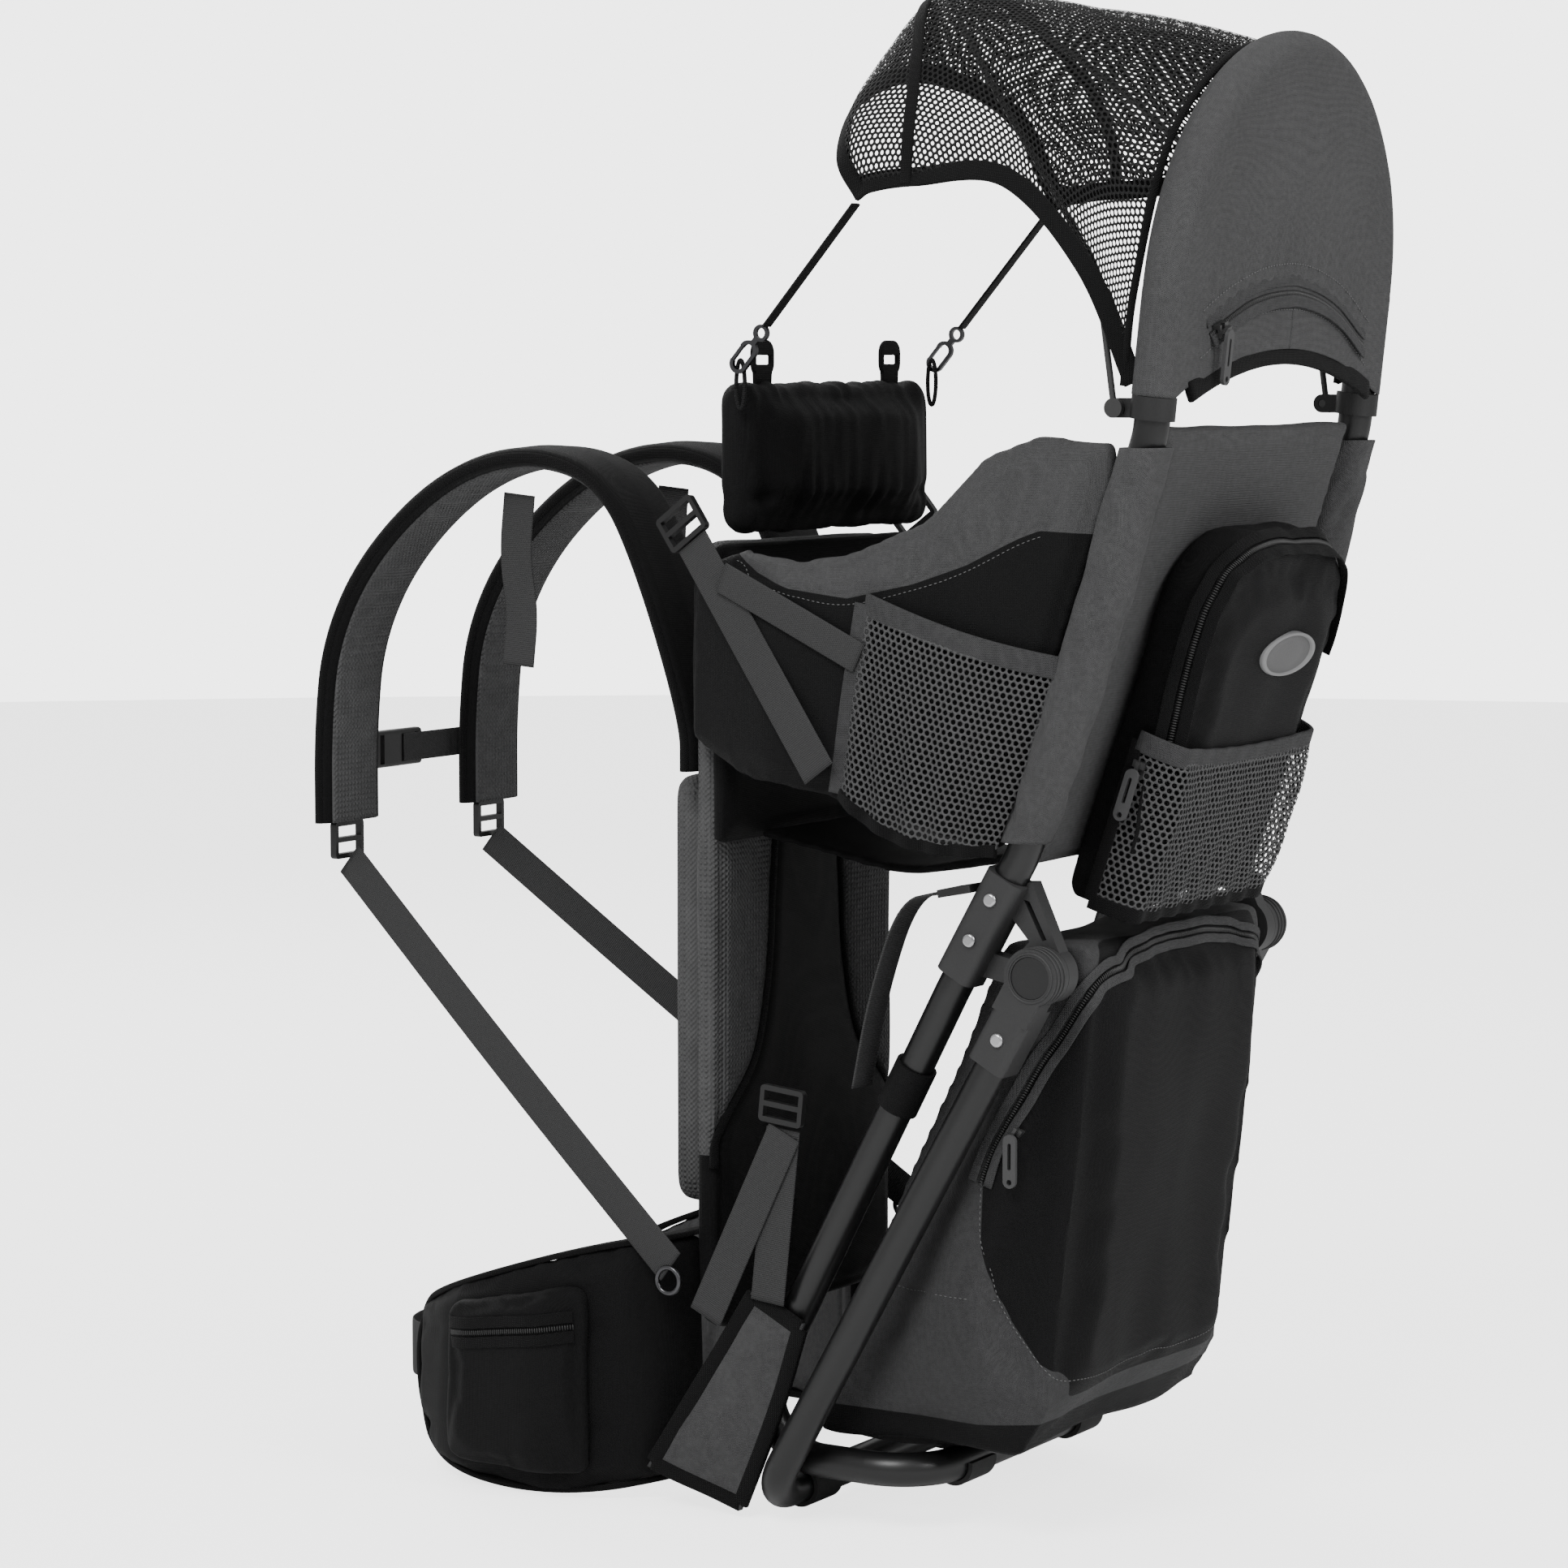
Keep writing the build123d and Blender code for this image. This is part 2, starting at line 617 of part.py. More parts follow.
cord_loop_x = tie_x - hook_thickness / 2 - fit - 1.5
cord_top = hook_plane.from_local_coords(Vector(link_middle + 7, 0, 0))
cord_foot = pad_top - 20
cord_side = 4.0
cord_loop = swept_tube(
    [
        (-cord_loop_x, cord_top.Y + cord_side + 4, cord_foot),
        (-cord_loop_x, cord_top.Y + cord_side, cord_top.Z + 4),
        (-cord_loop_x, cord_top.Y - cord_side, cord_top.Z + 4),
        (-cord_loop_x, cord_top.Y - cord_side + 4, cord_foot),
    ],
    3.5, 1.5,
)
cord_loop -= Pos(0, -46, panel_top + fit + front_pad_height / 2) * Box(
    2 * front_pad_half_width + 2 * fit, front_pad_depth + 2 * fit, front_pad_height + 2 * fit
)
nodes["cord_loops"] = both(cord_loop.solids().sort_by(Axis.Z)[-1])

# ---------------------------------------------------------------- side pockets
pocket_outline = [
    (seat_line(190) + 16, 190), (-169, 224), (-150, 222), (-142, 107),
    (-193, 89), (seat_line(76) + 16, 76),
]
pocket = side_profile(
    pocket_outline, -wing_x - wing_thickness / 2 - fit - pocket_depth, -wing_x - wing_thickness / 2 - fit, 6
)
nodes["side_pockets"] = both(pocket)

# ---------------------------------------------------------------- daypack
daypack_front = Vector(0, seat_line(daypack_bottom), daypack_bottom) + seat_rear * (
    seat_back_thickness / 2 + fit
)
daypack_height = (daypack_top - daypack_bottom) * seat_length
daypack_plane = Plane(origin=daypack_front, x_dir=(1, 0, 0), z_dir=seat_rear)
daypack_round = 62.0
daypack_corner = daypack_round * (1 - math.sqrt(0.5))
daypack_face = make_face(Wire([
    Line(
        (daypack_half_width - daypack_round, daypack_height),
        (daypack_round - daypack_half_width, daypack_height),
    ),
    ThreePointArc(
        (daypack_round - daypack_half_width, daypack_height),
        (daypack_corner - daypack_half_width, daypack_height - daypack_corner),
        (-daypack_half_width, daypack_height - daypack_round),
    ),
    Line((-daypack_half_width, daypack_height - daypack_round), (-daypack_half_width, 0)),
    Line((-daypack_half_width, 0), (daypack_half_width, 0)),
    Line((daypack_half_width, 0), (daypack_half_width, daypack_height - daypack_round)),
    ThreePointArc(
        (daypack_half_width, daypack_height - daypack_round),
        (daypack_half_width - daypack_corner, daypack_height - daypack_corner),
        (daypack_half_width - daypack_round, daypack_height),
    ),
]))
daypack = extrude(daypack_plane * daypack_face, amount=daypack_depth)
daypack = fillet(daypack.faces().sort_by(Axis.Y)[0].edges(), 12)
nodes["daypack"] = daypack

pouch_height = 104.0
pouch_thickness = 8.0
pouch = daypack_plane * Pos(0, pouch_height / 2 + 2, daypack_depth + fit + pouch_thickness / 2) * soft_box(
    2 * daypack_half_width - 26, pouch_height, pouch_thickness, 3
)
nodes["daypack_pocket"] = pouch
patch = daypack_plane * Pos(14, daypack_height - 76, daypack_depth + fit) * extrude(Ellipse(30, 13), amount=2)
nodes["daypack_patch"] = patch


# ---------------------------------------------------------------- zip sliders and pulls
slider_length, slider_width, slider_height = 11.0, 8.0, 5.0
pull_length, pull_width, pull_thickness = 34.0, 9.0, 2.4


def zip_slider(plane):
    """A slider body with its bridge. The plane's X runs along the zip and its Z points outwards."""
    body = Pos(0, 0, fit + slider_height / 2) * Box(slider_length, slider_width, slider_height)
    body -= Pos(0, 0, fit + slider_height / 2) * Box(slider_length + 1, 3, 1.6)
    body -= Pos(-1, 0, fit + slider_height - 1) * Box(4, slider_width + 1, 3)
    bridge = Pos(0, 0, fit + slider_height + 1.2) * Box(slider_length, 2, 2.4)
    return plane * (body + bridge)


def zip_pull(plane):
    """A moulded pull with a slot, hanging from the slider."""
    outline = SlotOverall(pull_length, pull_width) - Pos(3, 0) * SlotOverall(pull_length * 0.5, 2.4)
    outline -= Pos(-pull_length / 2 + 3.8, 0) * Circle(1.8)
    lift = fit + slider_height + 2.4 + fit
    return plane * Pos(-pull_length / 2 + 0.6, 0, lift) * extrude(outline, amount=pull_thickness)


hood_zip_plane = Plane(
    origin=Vector(-100, hood_line(398), 398) + hood_rear * (sleeve_radius + 0.1),
    x_dir=Vector(0.95, 0, 0) + hood_up * 0.31, z_dir=hood_rear,
)
zip_height = 96.0
zip_depth = daypack_depth - 18
daypack_zip_plane = Plane(
    origin=daypack_front + Vector(-daypack_half_width, 0, 0) + seat_up * zip_height + seat_rear * zip_depth,
    x_dir=seat_up, z_dir=(-1, 0, 0),
)
hood_pull_plane = Plane(origin=hood_zip_plane.origin, x_dir=hood_up, z_dir=hood_rear)
nodes["hood_zip_slider"] = zip_slider(hood_zip_plane)
nodes["hood_zip_pull"] = zip_pull(hood_pull_plane)
nodes["daypack_zip_slider"] = zip_slider(daypack_zip_plane)
nodes["daypack_zip_pull"] = zip_pull(daypack_zip_plane)

# ---------------------------------------------------------------- storage bag
bag_bottom = base_height + bore_radius + pad_wall + fit
bag_outline = [
    (bag_rear_y + 6, bag_top), (bag_rear_y, 4), (-303, -137), (-285, -282), (-262, bag_bottom),
    (-112, bag_bottom), (-106, -296), (-146, -200), (-212, -60), (-244, 14), (-252, bag_top),
]
bag = side_profile(bag_outline, -bag_half_width, bag_half_width, 9)
bag_plan = Pos(0, -210, 0) * RectangleRounded(2 * bag_half_width, 230, 26)
bag &= Pos(0, 0, bag_bottom - 10) * extrude(bag_plan, amount=400)
bag -= rod((-hub_back, hub_y, 0), (hub_back, hub_y, 0), cross_tube_diameter / 2 + fit)
nodes["storage_bag"] = bag

bag_zip_run = Vector(0, -41, 55).normalized()
bag_zip_plane = Plane(origin=(-bag_half_width, -262, -104), x_dir=bag_zip_run, z_dir=(-1, 0, 0))
nodes["bag_zip_slider"] = zip_slider(bag_zip_plane)
bag_pull_plane = Plane(origin=bag_zip_plane.origin, x_dir=(0, 0, 1), z_dir=(-1, 0, 0))
nodes["bag_zip_pull"] = zip_pull(bag_pull_plane)

# ---------------------------------------------------------------- back panel and back pads
back_panel = Pos(0, panel_face_y - panel_depth / 2, (panel_top + panel_bottom) / 2) * Box(
    2 * panel_half_width, panel_depth, panel_top - panel_bottom
)
back_panel = fillet(back_panel.edges().filter_by(Axis.Y), 24)
nodes["back_panel"] = back_panel

back_pad_x = 70.0
back_pad_width = 50.0
back_pad_low = -183.0
strap_root = 110.0
back_pad_high = strap_root - 2
back_pad = Pos(
    -back_pad_x, panel_face_y + fit + back_pad_depth / 2, (back_pad_low + back_pad_high) / 2
) * soft_box(back_pad_width, back_pad_depth, back_pad_high - back_pad_low, 14)
nodes["back_pads"] = both(back_pad)

# ---------------------------------------------------------------- shoulder straps
strap_back_y = panel_face_y + fit + strap_thickness / 2
strap_end_z = 60.0
strap_front_y = 291.0
strap_points = [
    (-strap_x, strap_back_y, strap_root),
    (-strap_x, strap_back_y, 142),
    (-strap_x, 26, 240),
    (-strap_x, 58, 300),
    (-strap_x, 118, 318),
    (-strap_x, 186, 300),
    (-strap_x, 250, 246),
    (-strap_x, 284, 186),
    (-strap_x, strap_front_y, 122),
    (-strap_x, strap_front_y, strap_end_z),
]
shoulder_strap = strap(strap_points, [30, 60, 34, 40, 50, 50, 60, 60], strap_width, strap_thickness)
nodes["shoulder_straps"] = both(shoulder_strap)


def frame_buckle(width, length, thickness, bar, slots=2):
    """A moulded webbing buckle: a frame with bars across it, flat in its own X and Y."""
    outline = RectangleRounded(width + 2 * bar, length, 3)
    pitch = (length - bar) / slots
    for i in range(slots):
        middle = -length / 2 + bar / 2 + pitch * (i + 0.5)
        outline -= Pos(0, middle) * Rectangle(width + 0.6, pitch - bar)
    return extrude(outline, amount=thickness / 2, both=True)


buckle_thickness = 5.0
adjuster_length = 26.0
adjuster_top = strap_end_z - fit
adjuster_plane = Plane(
    origin=(-strap_x, strap_front_y, adjuster_top - adjuster_length / 2), x_dir=(1, 0, 0), z_dir=(0, 1, 0)
)
adjuster = adjuster_plane * frame_buckle(webbing_width, adjuster_length, buckle_thickness, 3.5)
ladder_buckles = [*both(adjuster).solids()]

lower_start = (-strap_x, strap_front_y - 2, adjuster_top - adjuster_length - fit - 0.7)
lower_end = (-154, -20, -210)
lower_webbing = plate_between(lower_start, lower_end, webbing_width, webbing_thickness, (0, 0.63, -0.77))
nodes["lower_webbing"] = both(lower_webbing)

# ---------------------------------------------------------------- load lifters on the seat wings
lifter_top = Vector(-half_width - 1, -34, 262)
lifter_end = Vector(-half_width - wing_thickness / 2 - pocket_depth - 2.4, -139, 119)
lifter = plate_between(tuple(lifter_top), tuple(lifter_end), webbing_width, webbing_thickness, (0, 0.8, -0.6))
nodes["lifter_webbing"] = both(lifter)
lifter_lock_top = lifter_top + (lifter_top - lifter_end).normalized() * 13.5
lifter_across = Vector(0, 0.8, -0.6)
lifter_lock_plane = Plane(
    origin=lifter_lock_top, x_dir=lifter_across, z_dir=lifter_across.cross(lifter_top - lifter_end)
)
lifter_lock = lifter_lock_plane * frame_buckle(webbing_width, adjuster_length, buckle_thickness, 3.5)
ladder_buckles += both(lifter_lock).solids()

# ---------------------------------------------------------------- sternum strap and its buckle
sternum_z = 104.0
sternum_y = strap_front_y + strap_thickness / 2 + fit
sternum_anchor_x = strap_x - strap_width / 2 + 14
buckle_body = (30.0, 24.0, 10.0)          # length along the strap, height, depth
buckle_x = -8.0
male_length = 24.0
prong_depth = 12.0


def side_release(plane, webbing):
    """Both halves of a side-release buckle. Local X points from the male half to the socket."""
    length, height, depth = buckle_body
    wide = webbing + 6
    female = Pos(length / 2, 0, 0) * fillet(Box(length, wide, depth).edges().filter_by(Axis.X), 3)
    female -= Pos(prong_depth / 2 + 0.5, 0, 0) * Box(prong_depth + 1.2, wide - 6, depth - 4)
    female -= Pos(length - 7, 0, 0) * Box(5, webbing + 0.8, depth + 2)
    male = Pos(-male_length / 2 - fit, 0, 0) * fillet(
        Box(male_length, wide, depth - 1).edges().filter_by(Axis.X), 3
    )
    male -= Pos(-male_length + 5.5, 0, 0) * Box(4.4, webbing + 0.8, depth + 2)
    for side in (-1, 1):
        male += Pos(prong_depth / 2 - 1, side * (wide / 2 - 6.5), 0) * Box(prong_depth + 1, 4, depth - 5)
    return plane * female, plane * male


sternum_webbing = 20.0
sternum_plane = Plane(origin=(buckle_x, sternum_y + 6.8, sternum_z), x_dir=(-1, 0, 0), z_dir=(0, 1, 0))
sternum_socket, sternum_prong = side_release(sternum_plane, sternum_webbing)
nodes["sternum_buckle_socket"] = sternum_socket
nodes["sternum_buckle_prong"] = sternum_prong


def flat_webbing(x_from, x_to, y, z, width):
    """A straight length of webbing lying across the wearer's front."""
    middle = (x_from + x_to) / 2
    return Pos(middle, y, z) * Box(abs(x_to - x_from), webbing_thickness, width)


sternum_reach = sternum_anchor_x + 22
sternum_web_y = sternum_y + 1.2
socket_end = buckle_x - buckle_body[0] - fit
sternum_left = flat_webbing(-sternum_reach, socket_end, sternum_web_y, sternum_z, sternum_webbing)
sternum_right = flat_webbing(buckle_x + 2, sternum_reach, sternum_web_y, sternum_z, sternum_webbing)
nodes["sternum_webbing"] = Compound(children=[sternum_left, sternum_right])

# ---------------------------------------------------------------- hip belt
belt_outline = [
    (-22, -194), (40, -202), (150, -238), (198, -262), (199, -330), (178, -362),
    (60, -370), (-22, -352),
]
belt_height = 210.0
belt_middle = -272.0


def belt_plan(thickness):
    """The belt wing's plan, wrapping the wearer's side."""
    points = [
        (-panel_half_width + 20, panel_face_y + fit + belt_thickness / 2, belt_middle),
        (-panel_half_width - 16, panel_face_y + fit + belt_thickness / 2 + 8, belt_middle),
        (-panel_half_width - 46, 70, belt_middle),
        (-panel_half_width - 42, 140, belt_middle),
        (-panel_half_width - 8, 194, belt_middle),
    ]
    return strap(points, [30, 40, 50], belt_height, thickness, across=(0, 0, 1))


belt = belt_plan(belt_thickness) & side_profile(belt_outline, -half_width - 60, -40, 16)
pouch_shell = belt_plan(belt_thickness + 2 * 13) - belt_plan(belt_thickness + 2 * fit)
pouch_outline = [(34, -222), (142, -246), (146, -352), (34, -354)]
pouch_shell &= side_profile(pouch_outline, -half_width - 60, -panel_half_width - 46, 12)
pouch_shell = pouch_shell.solids().sort_by(Axis.X)[0]
nodes["hip_belt_wings"] = both(belt)
nodes["belt_pouches"] = both(pouch_shell)

belt_front_z = -298.0
belt_front_y = 232.0
belt_webbing = 38.0
belt_plane = Plane(origin=(buckle_x, belt_front_y, belt_front_z), x_dir=(-1, 0, 0), z_dir=(0, 1, 0))
belt_socket, belt_prong = side_release(belt_plane, belt_webbing)
nodes["belt_buckle_socket"] = belt_socket
nodes["belt_buckle_prong"] = belt_prong
belt_tip = Vector(-panel_half_width - 8, 194, belt_front_z)
belt_tip_run = Vector(34, 54, 0).normalized()


def belt_web(x_near, front_y, sign):
    """Webbing from the tip of a belt wing to the buckle in front."""
    start = belt_tip + belt_tip_run * fit
    turn = start + belt_tip_run * ((front_y - start.Y) / belt_tip_run.Y)
    points = [
        (-sign * start.X, start.Y, belt_front_z),
        (-sign * turn.X, front_y, belt_front_z),
        (x_near, front_y, belt_front_z),
    ]
    return strap(points, 25, belt_webbing, webbing_thickness, across=(0, 0, 1))


web_left = belt_web(buckle_x - buckle_body[0] - fit, belt_front_y, -1)
behind_prong = (buckle_body[2] - 1) / 2 + fit + webbing_thickness / 2
web_right = belt_web(buckle_x + 2, belt_front_y - behind_prong, 1)
nodes["belt_webbing"] = Compound(children=[web_left.solid(), web_right.solid()])

# ---------------------------------------------------------------- stabiliser fins and their webbing
fin_thickness = 3.5
fin_top = -219.0
fin_outline = [(2, -346), (-70, -366), (-120, -244), (-115, -230), (-80, fin_top)]
leg_share = (base_points[1][2] - fin_top) / (base_points[1][2] - base_height)
fin_inner = half_width - (half_width - base_x) * leg_share + tube_radius + fit
fin = side_profile(fin_outline, -fin_inner - fin_thickness, -fin_inner, 5)
nodes["stabiliser_fins"] = both(fin)

fin_web_x = -fin_inner - 5
fin_tail_x = -fin_inner - 7.2
fin_web = plate_between(
    (fin_web_x, -104, -112), (fin_web_x, -92, -226), webbing_width, webbing_thickness, (0, 1, 0.1)
)
fin_tail = plate_between(
    (fin_tail_x, -106, -114), (fin_tail_x, -46, -240), webbing_width, webbing_thickness, (0, 1, 0.48)
)
nodes["fin_webbing"] = Compound(children=[*both(fin_web).solids(), *both(fin_tail).solids()])
fin_lock = Plane(origin=(-fin_inner - 6, -104, -97), x_dir=(0, 1, 0.1), z_dir=(-1, 0, 0)) * frame_buckle(
    webbing_width, 24, buckle_thickness, 3.5
)
ladder_buckles += both(fin_lock).solids()

# ---------------------------------------------------------------- foot stirrups and seat webbing
stirrup_z = 49.9
stirrup_lock_length = 24.0
stirrup_lock_y = bracket_line(stirrup_z) + socket_width / 2 * leg_length + stirrup_lock_length / 2 + fit
stirrup_start = stirrup_lock_y + stirrup_lock_length / 2 + fit
stirrup = strap(
    [
        (-half_width, stirrup_start, stirrup_z - 2.4),
        (-half_width, stirrup_start + 27.7, stirrup_z - 7.9),
        (-half_width, stirrup_start + 49.7, -20),
        (-half_width, stirrup_start + 61.7, -80),
    ],
    [14, 60], webbing_width, webbing_thickness,
)
nodes["stirrup_webbing"] = both(stirrup)
stirrup_lock_plane = Plane(
    origin=(-half_width, stirrup_lock_y, stirrup_z), x_dir=(1, 0, 0), z_dir=(0, 0.2, 1)
)
stirrup_lock = stirrup_lock_plane * frame_buckle(webbing_width, stirrup_lock_length, buckle_thickness, 3.5)
ladder_buckles += both(stirrup_lock).solids()

# ---------------------------------------------------------------- child's harness inside the seat
harness_x = 42.0
harness_width = 38.0
harness_front = seat_back_thickness / 2 + fit + 3
harness_low, harness_high = 96.0, 268.0
harness_pad = plate_between(
    (-harness_x, seat_line(harness_low) + harness_front * seat_length, harness_low),
    (-harness_x, seat_line(harness_high) + harness_front * seat_length, harness_high),
    harness_width, 6, (1, 0, 0),
)
nodes["harness_straps"] = both(harness_pad)
nodes["ladder_buckles"] = Compound(children=ladder_buckles)

os.makedirs("parts", exist_ok=True)
for name, shape in nodes.items():
    export_step(shape, f"parts/{name}.step")
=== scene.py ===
import math
import bmesh
import bpy
import numpy as np
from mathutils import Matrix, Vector, noise
from mathutils.bvhtree import BVHTree


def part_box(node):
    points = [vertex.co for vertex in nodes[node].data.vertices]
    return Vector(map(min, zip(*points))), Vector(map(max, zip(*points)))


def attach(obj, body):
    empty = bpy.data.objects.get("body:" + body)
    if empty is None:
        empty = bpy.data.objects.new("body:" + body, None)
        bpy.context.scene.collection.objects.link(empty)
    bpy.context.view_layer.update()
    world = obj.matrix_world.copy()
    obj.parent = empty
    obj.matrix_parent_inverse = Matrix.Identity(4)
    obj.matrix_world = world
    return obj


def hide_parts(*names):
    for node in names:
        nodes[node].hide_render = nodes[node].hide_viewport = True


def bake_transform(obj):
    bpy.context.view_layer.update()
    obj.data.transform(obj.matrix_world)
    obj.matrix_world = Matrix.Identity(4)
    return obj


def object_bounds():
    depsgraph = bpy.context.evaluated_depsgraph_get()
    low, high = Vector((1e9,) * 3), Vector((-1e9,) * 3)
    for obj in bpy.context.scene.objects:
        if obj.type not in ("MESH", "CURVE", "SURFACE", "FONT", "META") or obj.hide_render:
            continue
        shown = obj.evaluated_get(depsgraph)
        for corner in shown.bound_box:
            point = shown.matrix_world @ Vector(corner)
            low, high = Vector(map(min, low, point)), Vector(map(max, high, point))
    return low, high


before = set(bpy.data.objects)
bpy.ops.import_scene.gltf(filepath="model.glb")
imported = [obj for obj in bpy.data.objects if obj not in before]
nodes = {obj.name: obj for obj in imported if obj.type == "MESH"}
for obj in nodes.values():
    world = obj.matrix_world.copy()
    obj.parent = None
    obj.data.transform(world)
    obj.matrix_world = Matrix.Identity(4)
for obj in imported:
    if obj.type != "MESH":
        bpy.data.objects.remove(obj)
cad_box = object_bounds()
scene = bpy.context.scene

# ---------------------------------------------------------------- studio
# A pale floor under the carrier, three large soft lights and the camera, which looks at the
# wearer's left side from a little behind. None of this is part of the carrier.
view_azimuth, view_elevation = math.radians(-58.5), math.radians(5.4)
camera_data = bpy.data.cameras.new("studio_camera")
camera_data.lens = 104.3
camera_data.sensor_width = 36.0
camera = bpy.data.objects.new("studio_camera", camera_data)
scene.collection.objects.link(camera)
backwards = Vector((
    math.sin(view_azimuth) * math.cos(view_elevation),
    -math.cos(view_azimuth) * math.cos(view_elevation),
    math.sin(view_elevation),
))
camera.location = (-2.599, -1.605, 0.381)
camera.rotation_mode = "QUATERNION"
camera.rotation_quaternion = (-backwards).to_track_quat("-Z", "Y")
scene.camera = camera

floor_level = cad_box[0].z - 0.001
floor_mesh = bpy.data.meshes.new("studio_floor")
ring = [
    (7 * math.cos(a), 7 * math.sin(a), floor_level)
    for a in np.linspace(0, 2 * math.pi, 64, endpoint=False)
]
floor_mesh.from_pydata(ring, [], [list(range(64))])
studio_floor = bpy.data.objects.new("studio_floor", floor_mesh)
scene.collection.objects.link(studio_floor)
floor_paint = bpy.data.materials.new("pale_floor")
floor_paint.use_nodes = True
floor_paint.node_tree.nodes["Principled BSDF"].inputs["Base Color"].default_value = (0.86, 0.86, 0.86, 1)
floor_paint.node_tree.nodes["Principled BSDF"].inputs["Roughness"].default_value = 0.8
floor_path = floor_paint.node_tree.nodes.new("ShaderNodeLightPath")
floor_glow = floor_paint.node_tree.nodes.new("ShaderNodeMath")
floor_glow.operation = "MULTIPLY"
floor_glow.inputs[1].default_value = 2.4
floor_paint.node_tree.nodes["Principled BSDF"].inputs["Emission Color"].default_value = (1, 1, 1, 1)
floor_paint.node_tree.links.new(floor_path.outputs["Is Camera Ray"], floor_glow.inputs[0])
floor_paint.node_tree.links.new(
    floor_glow.outputs[0], floor_paint.node_tree.nodes["Principled BSDF"].inputs["Emission Strength"],
)
floor_mesh.materials.append(floor_paint)

world = bpy.data.worlds.new("studio_world")
world.use_nodes = True
world.node_tree.nodes["Background"].inputs["Color"].default_value = (1, 1, 1, 1)
world_path = world.node_tree.nodes.new("ShaderNodeLightPath")
seen_strength = world.node_tree.nodes.new("ShaderNodeMapRange")
seen_strength.inputs["To Min"].default_value = 0.6
seen_strength.inputs["To Max"].default_value = 4.0
world.node_tree.links.new(world_path.outputs["Is Camera Ray"], seen_strength.inputs["Value"])
world.node_tree.links.new(
    seen_strength.outputs["Result"], world.node_tree.nodes["Background"].inputs["Strength"],
)
scene.world = world


def soft_light(name, place, aim, size, power):
    lamp = bpy.data.lights.new(name, "AREA")
    lamp.shape = "DISK"
    lamp.size = size
    lamp.energy = power
    lamp_object = bpy.data.objects.new(name, lamp)
    scene.collection.objects.link(lamp_object)
    lamp_object.location = place
    lamp_object.rotation_mode = "QUATERNION"
    lamp_object.rotation_quaternion = (Vector(aim) - Vector(place)).to_track_quat("-Z", "Y")


soft_light("key_light", (-2.2, -0.3, 2.3), (0, -0.15, 0.1), 1.4, 60)
soft_light("rear_light", (-0.3, -2.6, 1.5), (0, -0.2, 0.1), 1.3, 36)
soft_light("front_light", (1.4, 2.2, 1.6), (0, 0, 0.1), 1.6, 30)


# ---------------------------------------------------------------- frame tubes
# Aluminium tubes of 22 mm, bent and powder coated in satin black: the upper hoop, the base
# loop, the folding stand and the tube between the hinges. The paint has a very fine grain.
def shader_group(name, takes, gives):
    """A shader node group with named sockets, and its input and output nodes."""
    group = bpy.data.node_groups.new(name, "ShaderNodeTree")
    for label, kind, value in takes:
        socket = group.interface.new_socket(label, in_out="INPUT", socket_type=kind)
        if value is not None:
            socket.default_value = value
    for label, kind in gives:
        group.interface.new_socket(label, in_out="OUTPUT", socket_type=kind)
    return group, group.nodes.new("NodeGroupInput"), group.nodes.new("NodeGroupOutput")


def calc(tree, operation, *values):
    """A Math node on numbers or sockets, and its result."""
    node = tree.nodes.new("ShaderNodeMath")
    node.operation = operation
    for socket, value in zip(node.inputs, values):
        if isinstance(value, (int, float)):
            socket.default_value = value
        else:
            tree.links.new(value, socket)
    return node.outputs[0]


def speckle(tree, vector, scale, detail=2.0):
    """A Noise Texture read at a scale per metre."""
    node = tree.nodes.new("ShaderNodeTexNoise")
    node.inputs["Detail"].default_value = detail
    if isinstance(scale, (int, float)):
        node.inputs["Scale"].default_value = scale
    else:
        tree.links.new(scale, node.inputs["Scale"])
    tree.links.new(vector, node.inputs["Vector"])
    return node.outputs[0]


# Fine grain of a coated or moulded surface, with faint handling marks.
grain, grain_in, grain_out = shader_group(
    "fine_grain",
    [
        ("Vector", "NodeSocketVector", None), ("Grain", "NodeSocketFloat", 1500.0),
        ("Marks", "NodeSocketFloat", 18.0),
    ],
    [("Height", "NodeSocketFloat"), ("Roughness shift", "NodeSocketFloat"), ("Shade", "NodeSocketFloat")],
)
fine = speckle(grain, grain_in.outputs["Vector"], grain_in.outputs["Grain"], 1.0)
marks = speckle(grain, grain_in.outputs["Vector"], grain_in.outputs["Marks"], 4.0)
grain.links.new(fine, grain_out.inputs["Height"])
grain.links.new(calc(grain, "MULTIPLY_ADD", marks, 0.22, -0.11), grain_out.inputs["Roughness shift"])
grain.links.new(calc(grain, "MULTIPLY_ADD", marks, 0.5, 0.75), grain_out.inputs["Shade"])


def new_material(name):
    material = bpy.data.materials.new(name)
    material.use_nodes = True
    tree = material.node_tree
    return material, tree, tree.nodes["Principled BSDF"]


def place_group(tree, group, **values):
    node = tree.nodes.new("ShaderNodeGroup")
    node.node_tree = group
    for label, value in values.items():
        node.inputs[label.replace("_", " ")].default_value = value
    return node


def tint(tree, colour, shade):
    """A plain colour made lighter and darker by a shade that is 1 on average."""
    node = tree.nodes.new("ShaderNodeMix")
    node.data_type = "RGBA"
    node.blend_type = "MULTIPLY"
    node.inputs["Factor"].default_value = 1.0
    if isinstance(colour, (tuple, list)):
        node.inputs["A"].default_value = (*colour, 1)
    else:
        tree.links.new(colour, node.inputs["A"])
    tree.links.new(shade, node.inputs["B"])
    return node.outputs["Result"]


def add_bump(tree, shader, height, distance, strength=1.0):
    bump = tree.nodes.new("ShaderNodeBump")
    bump.inputs["Distance"].default_value = distance
    bump.inputs["Strength"].default_value = strength
    tree.links.new(height, bump.inputs["Height"])
    tree.links.new(bump.outputs["Normal"], shader.inputs["Normal"])


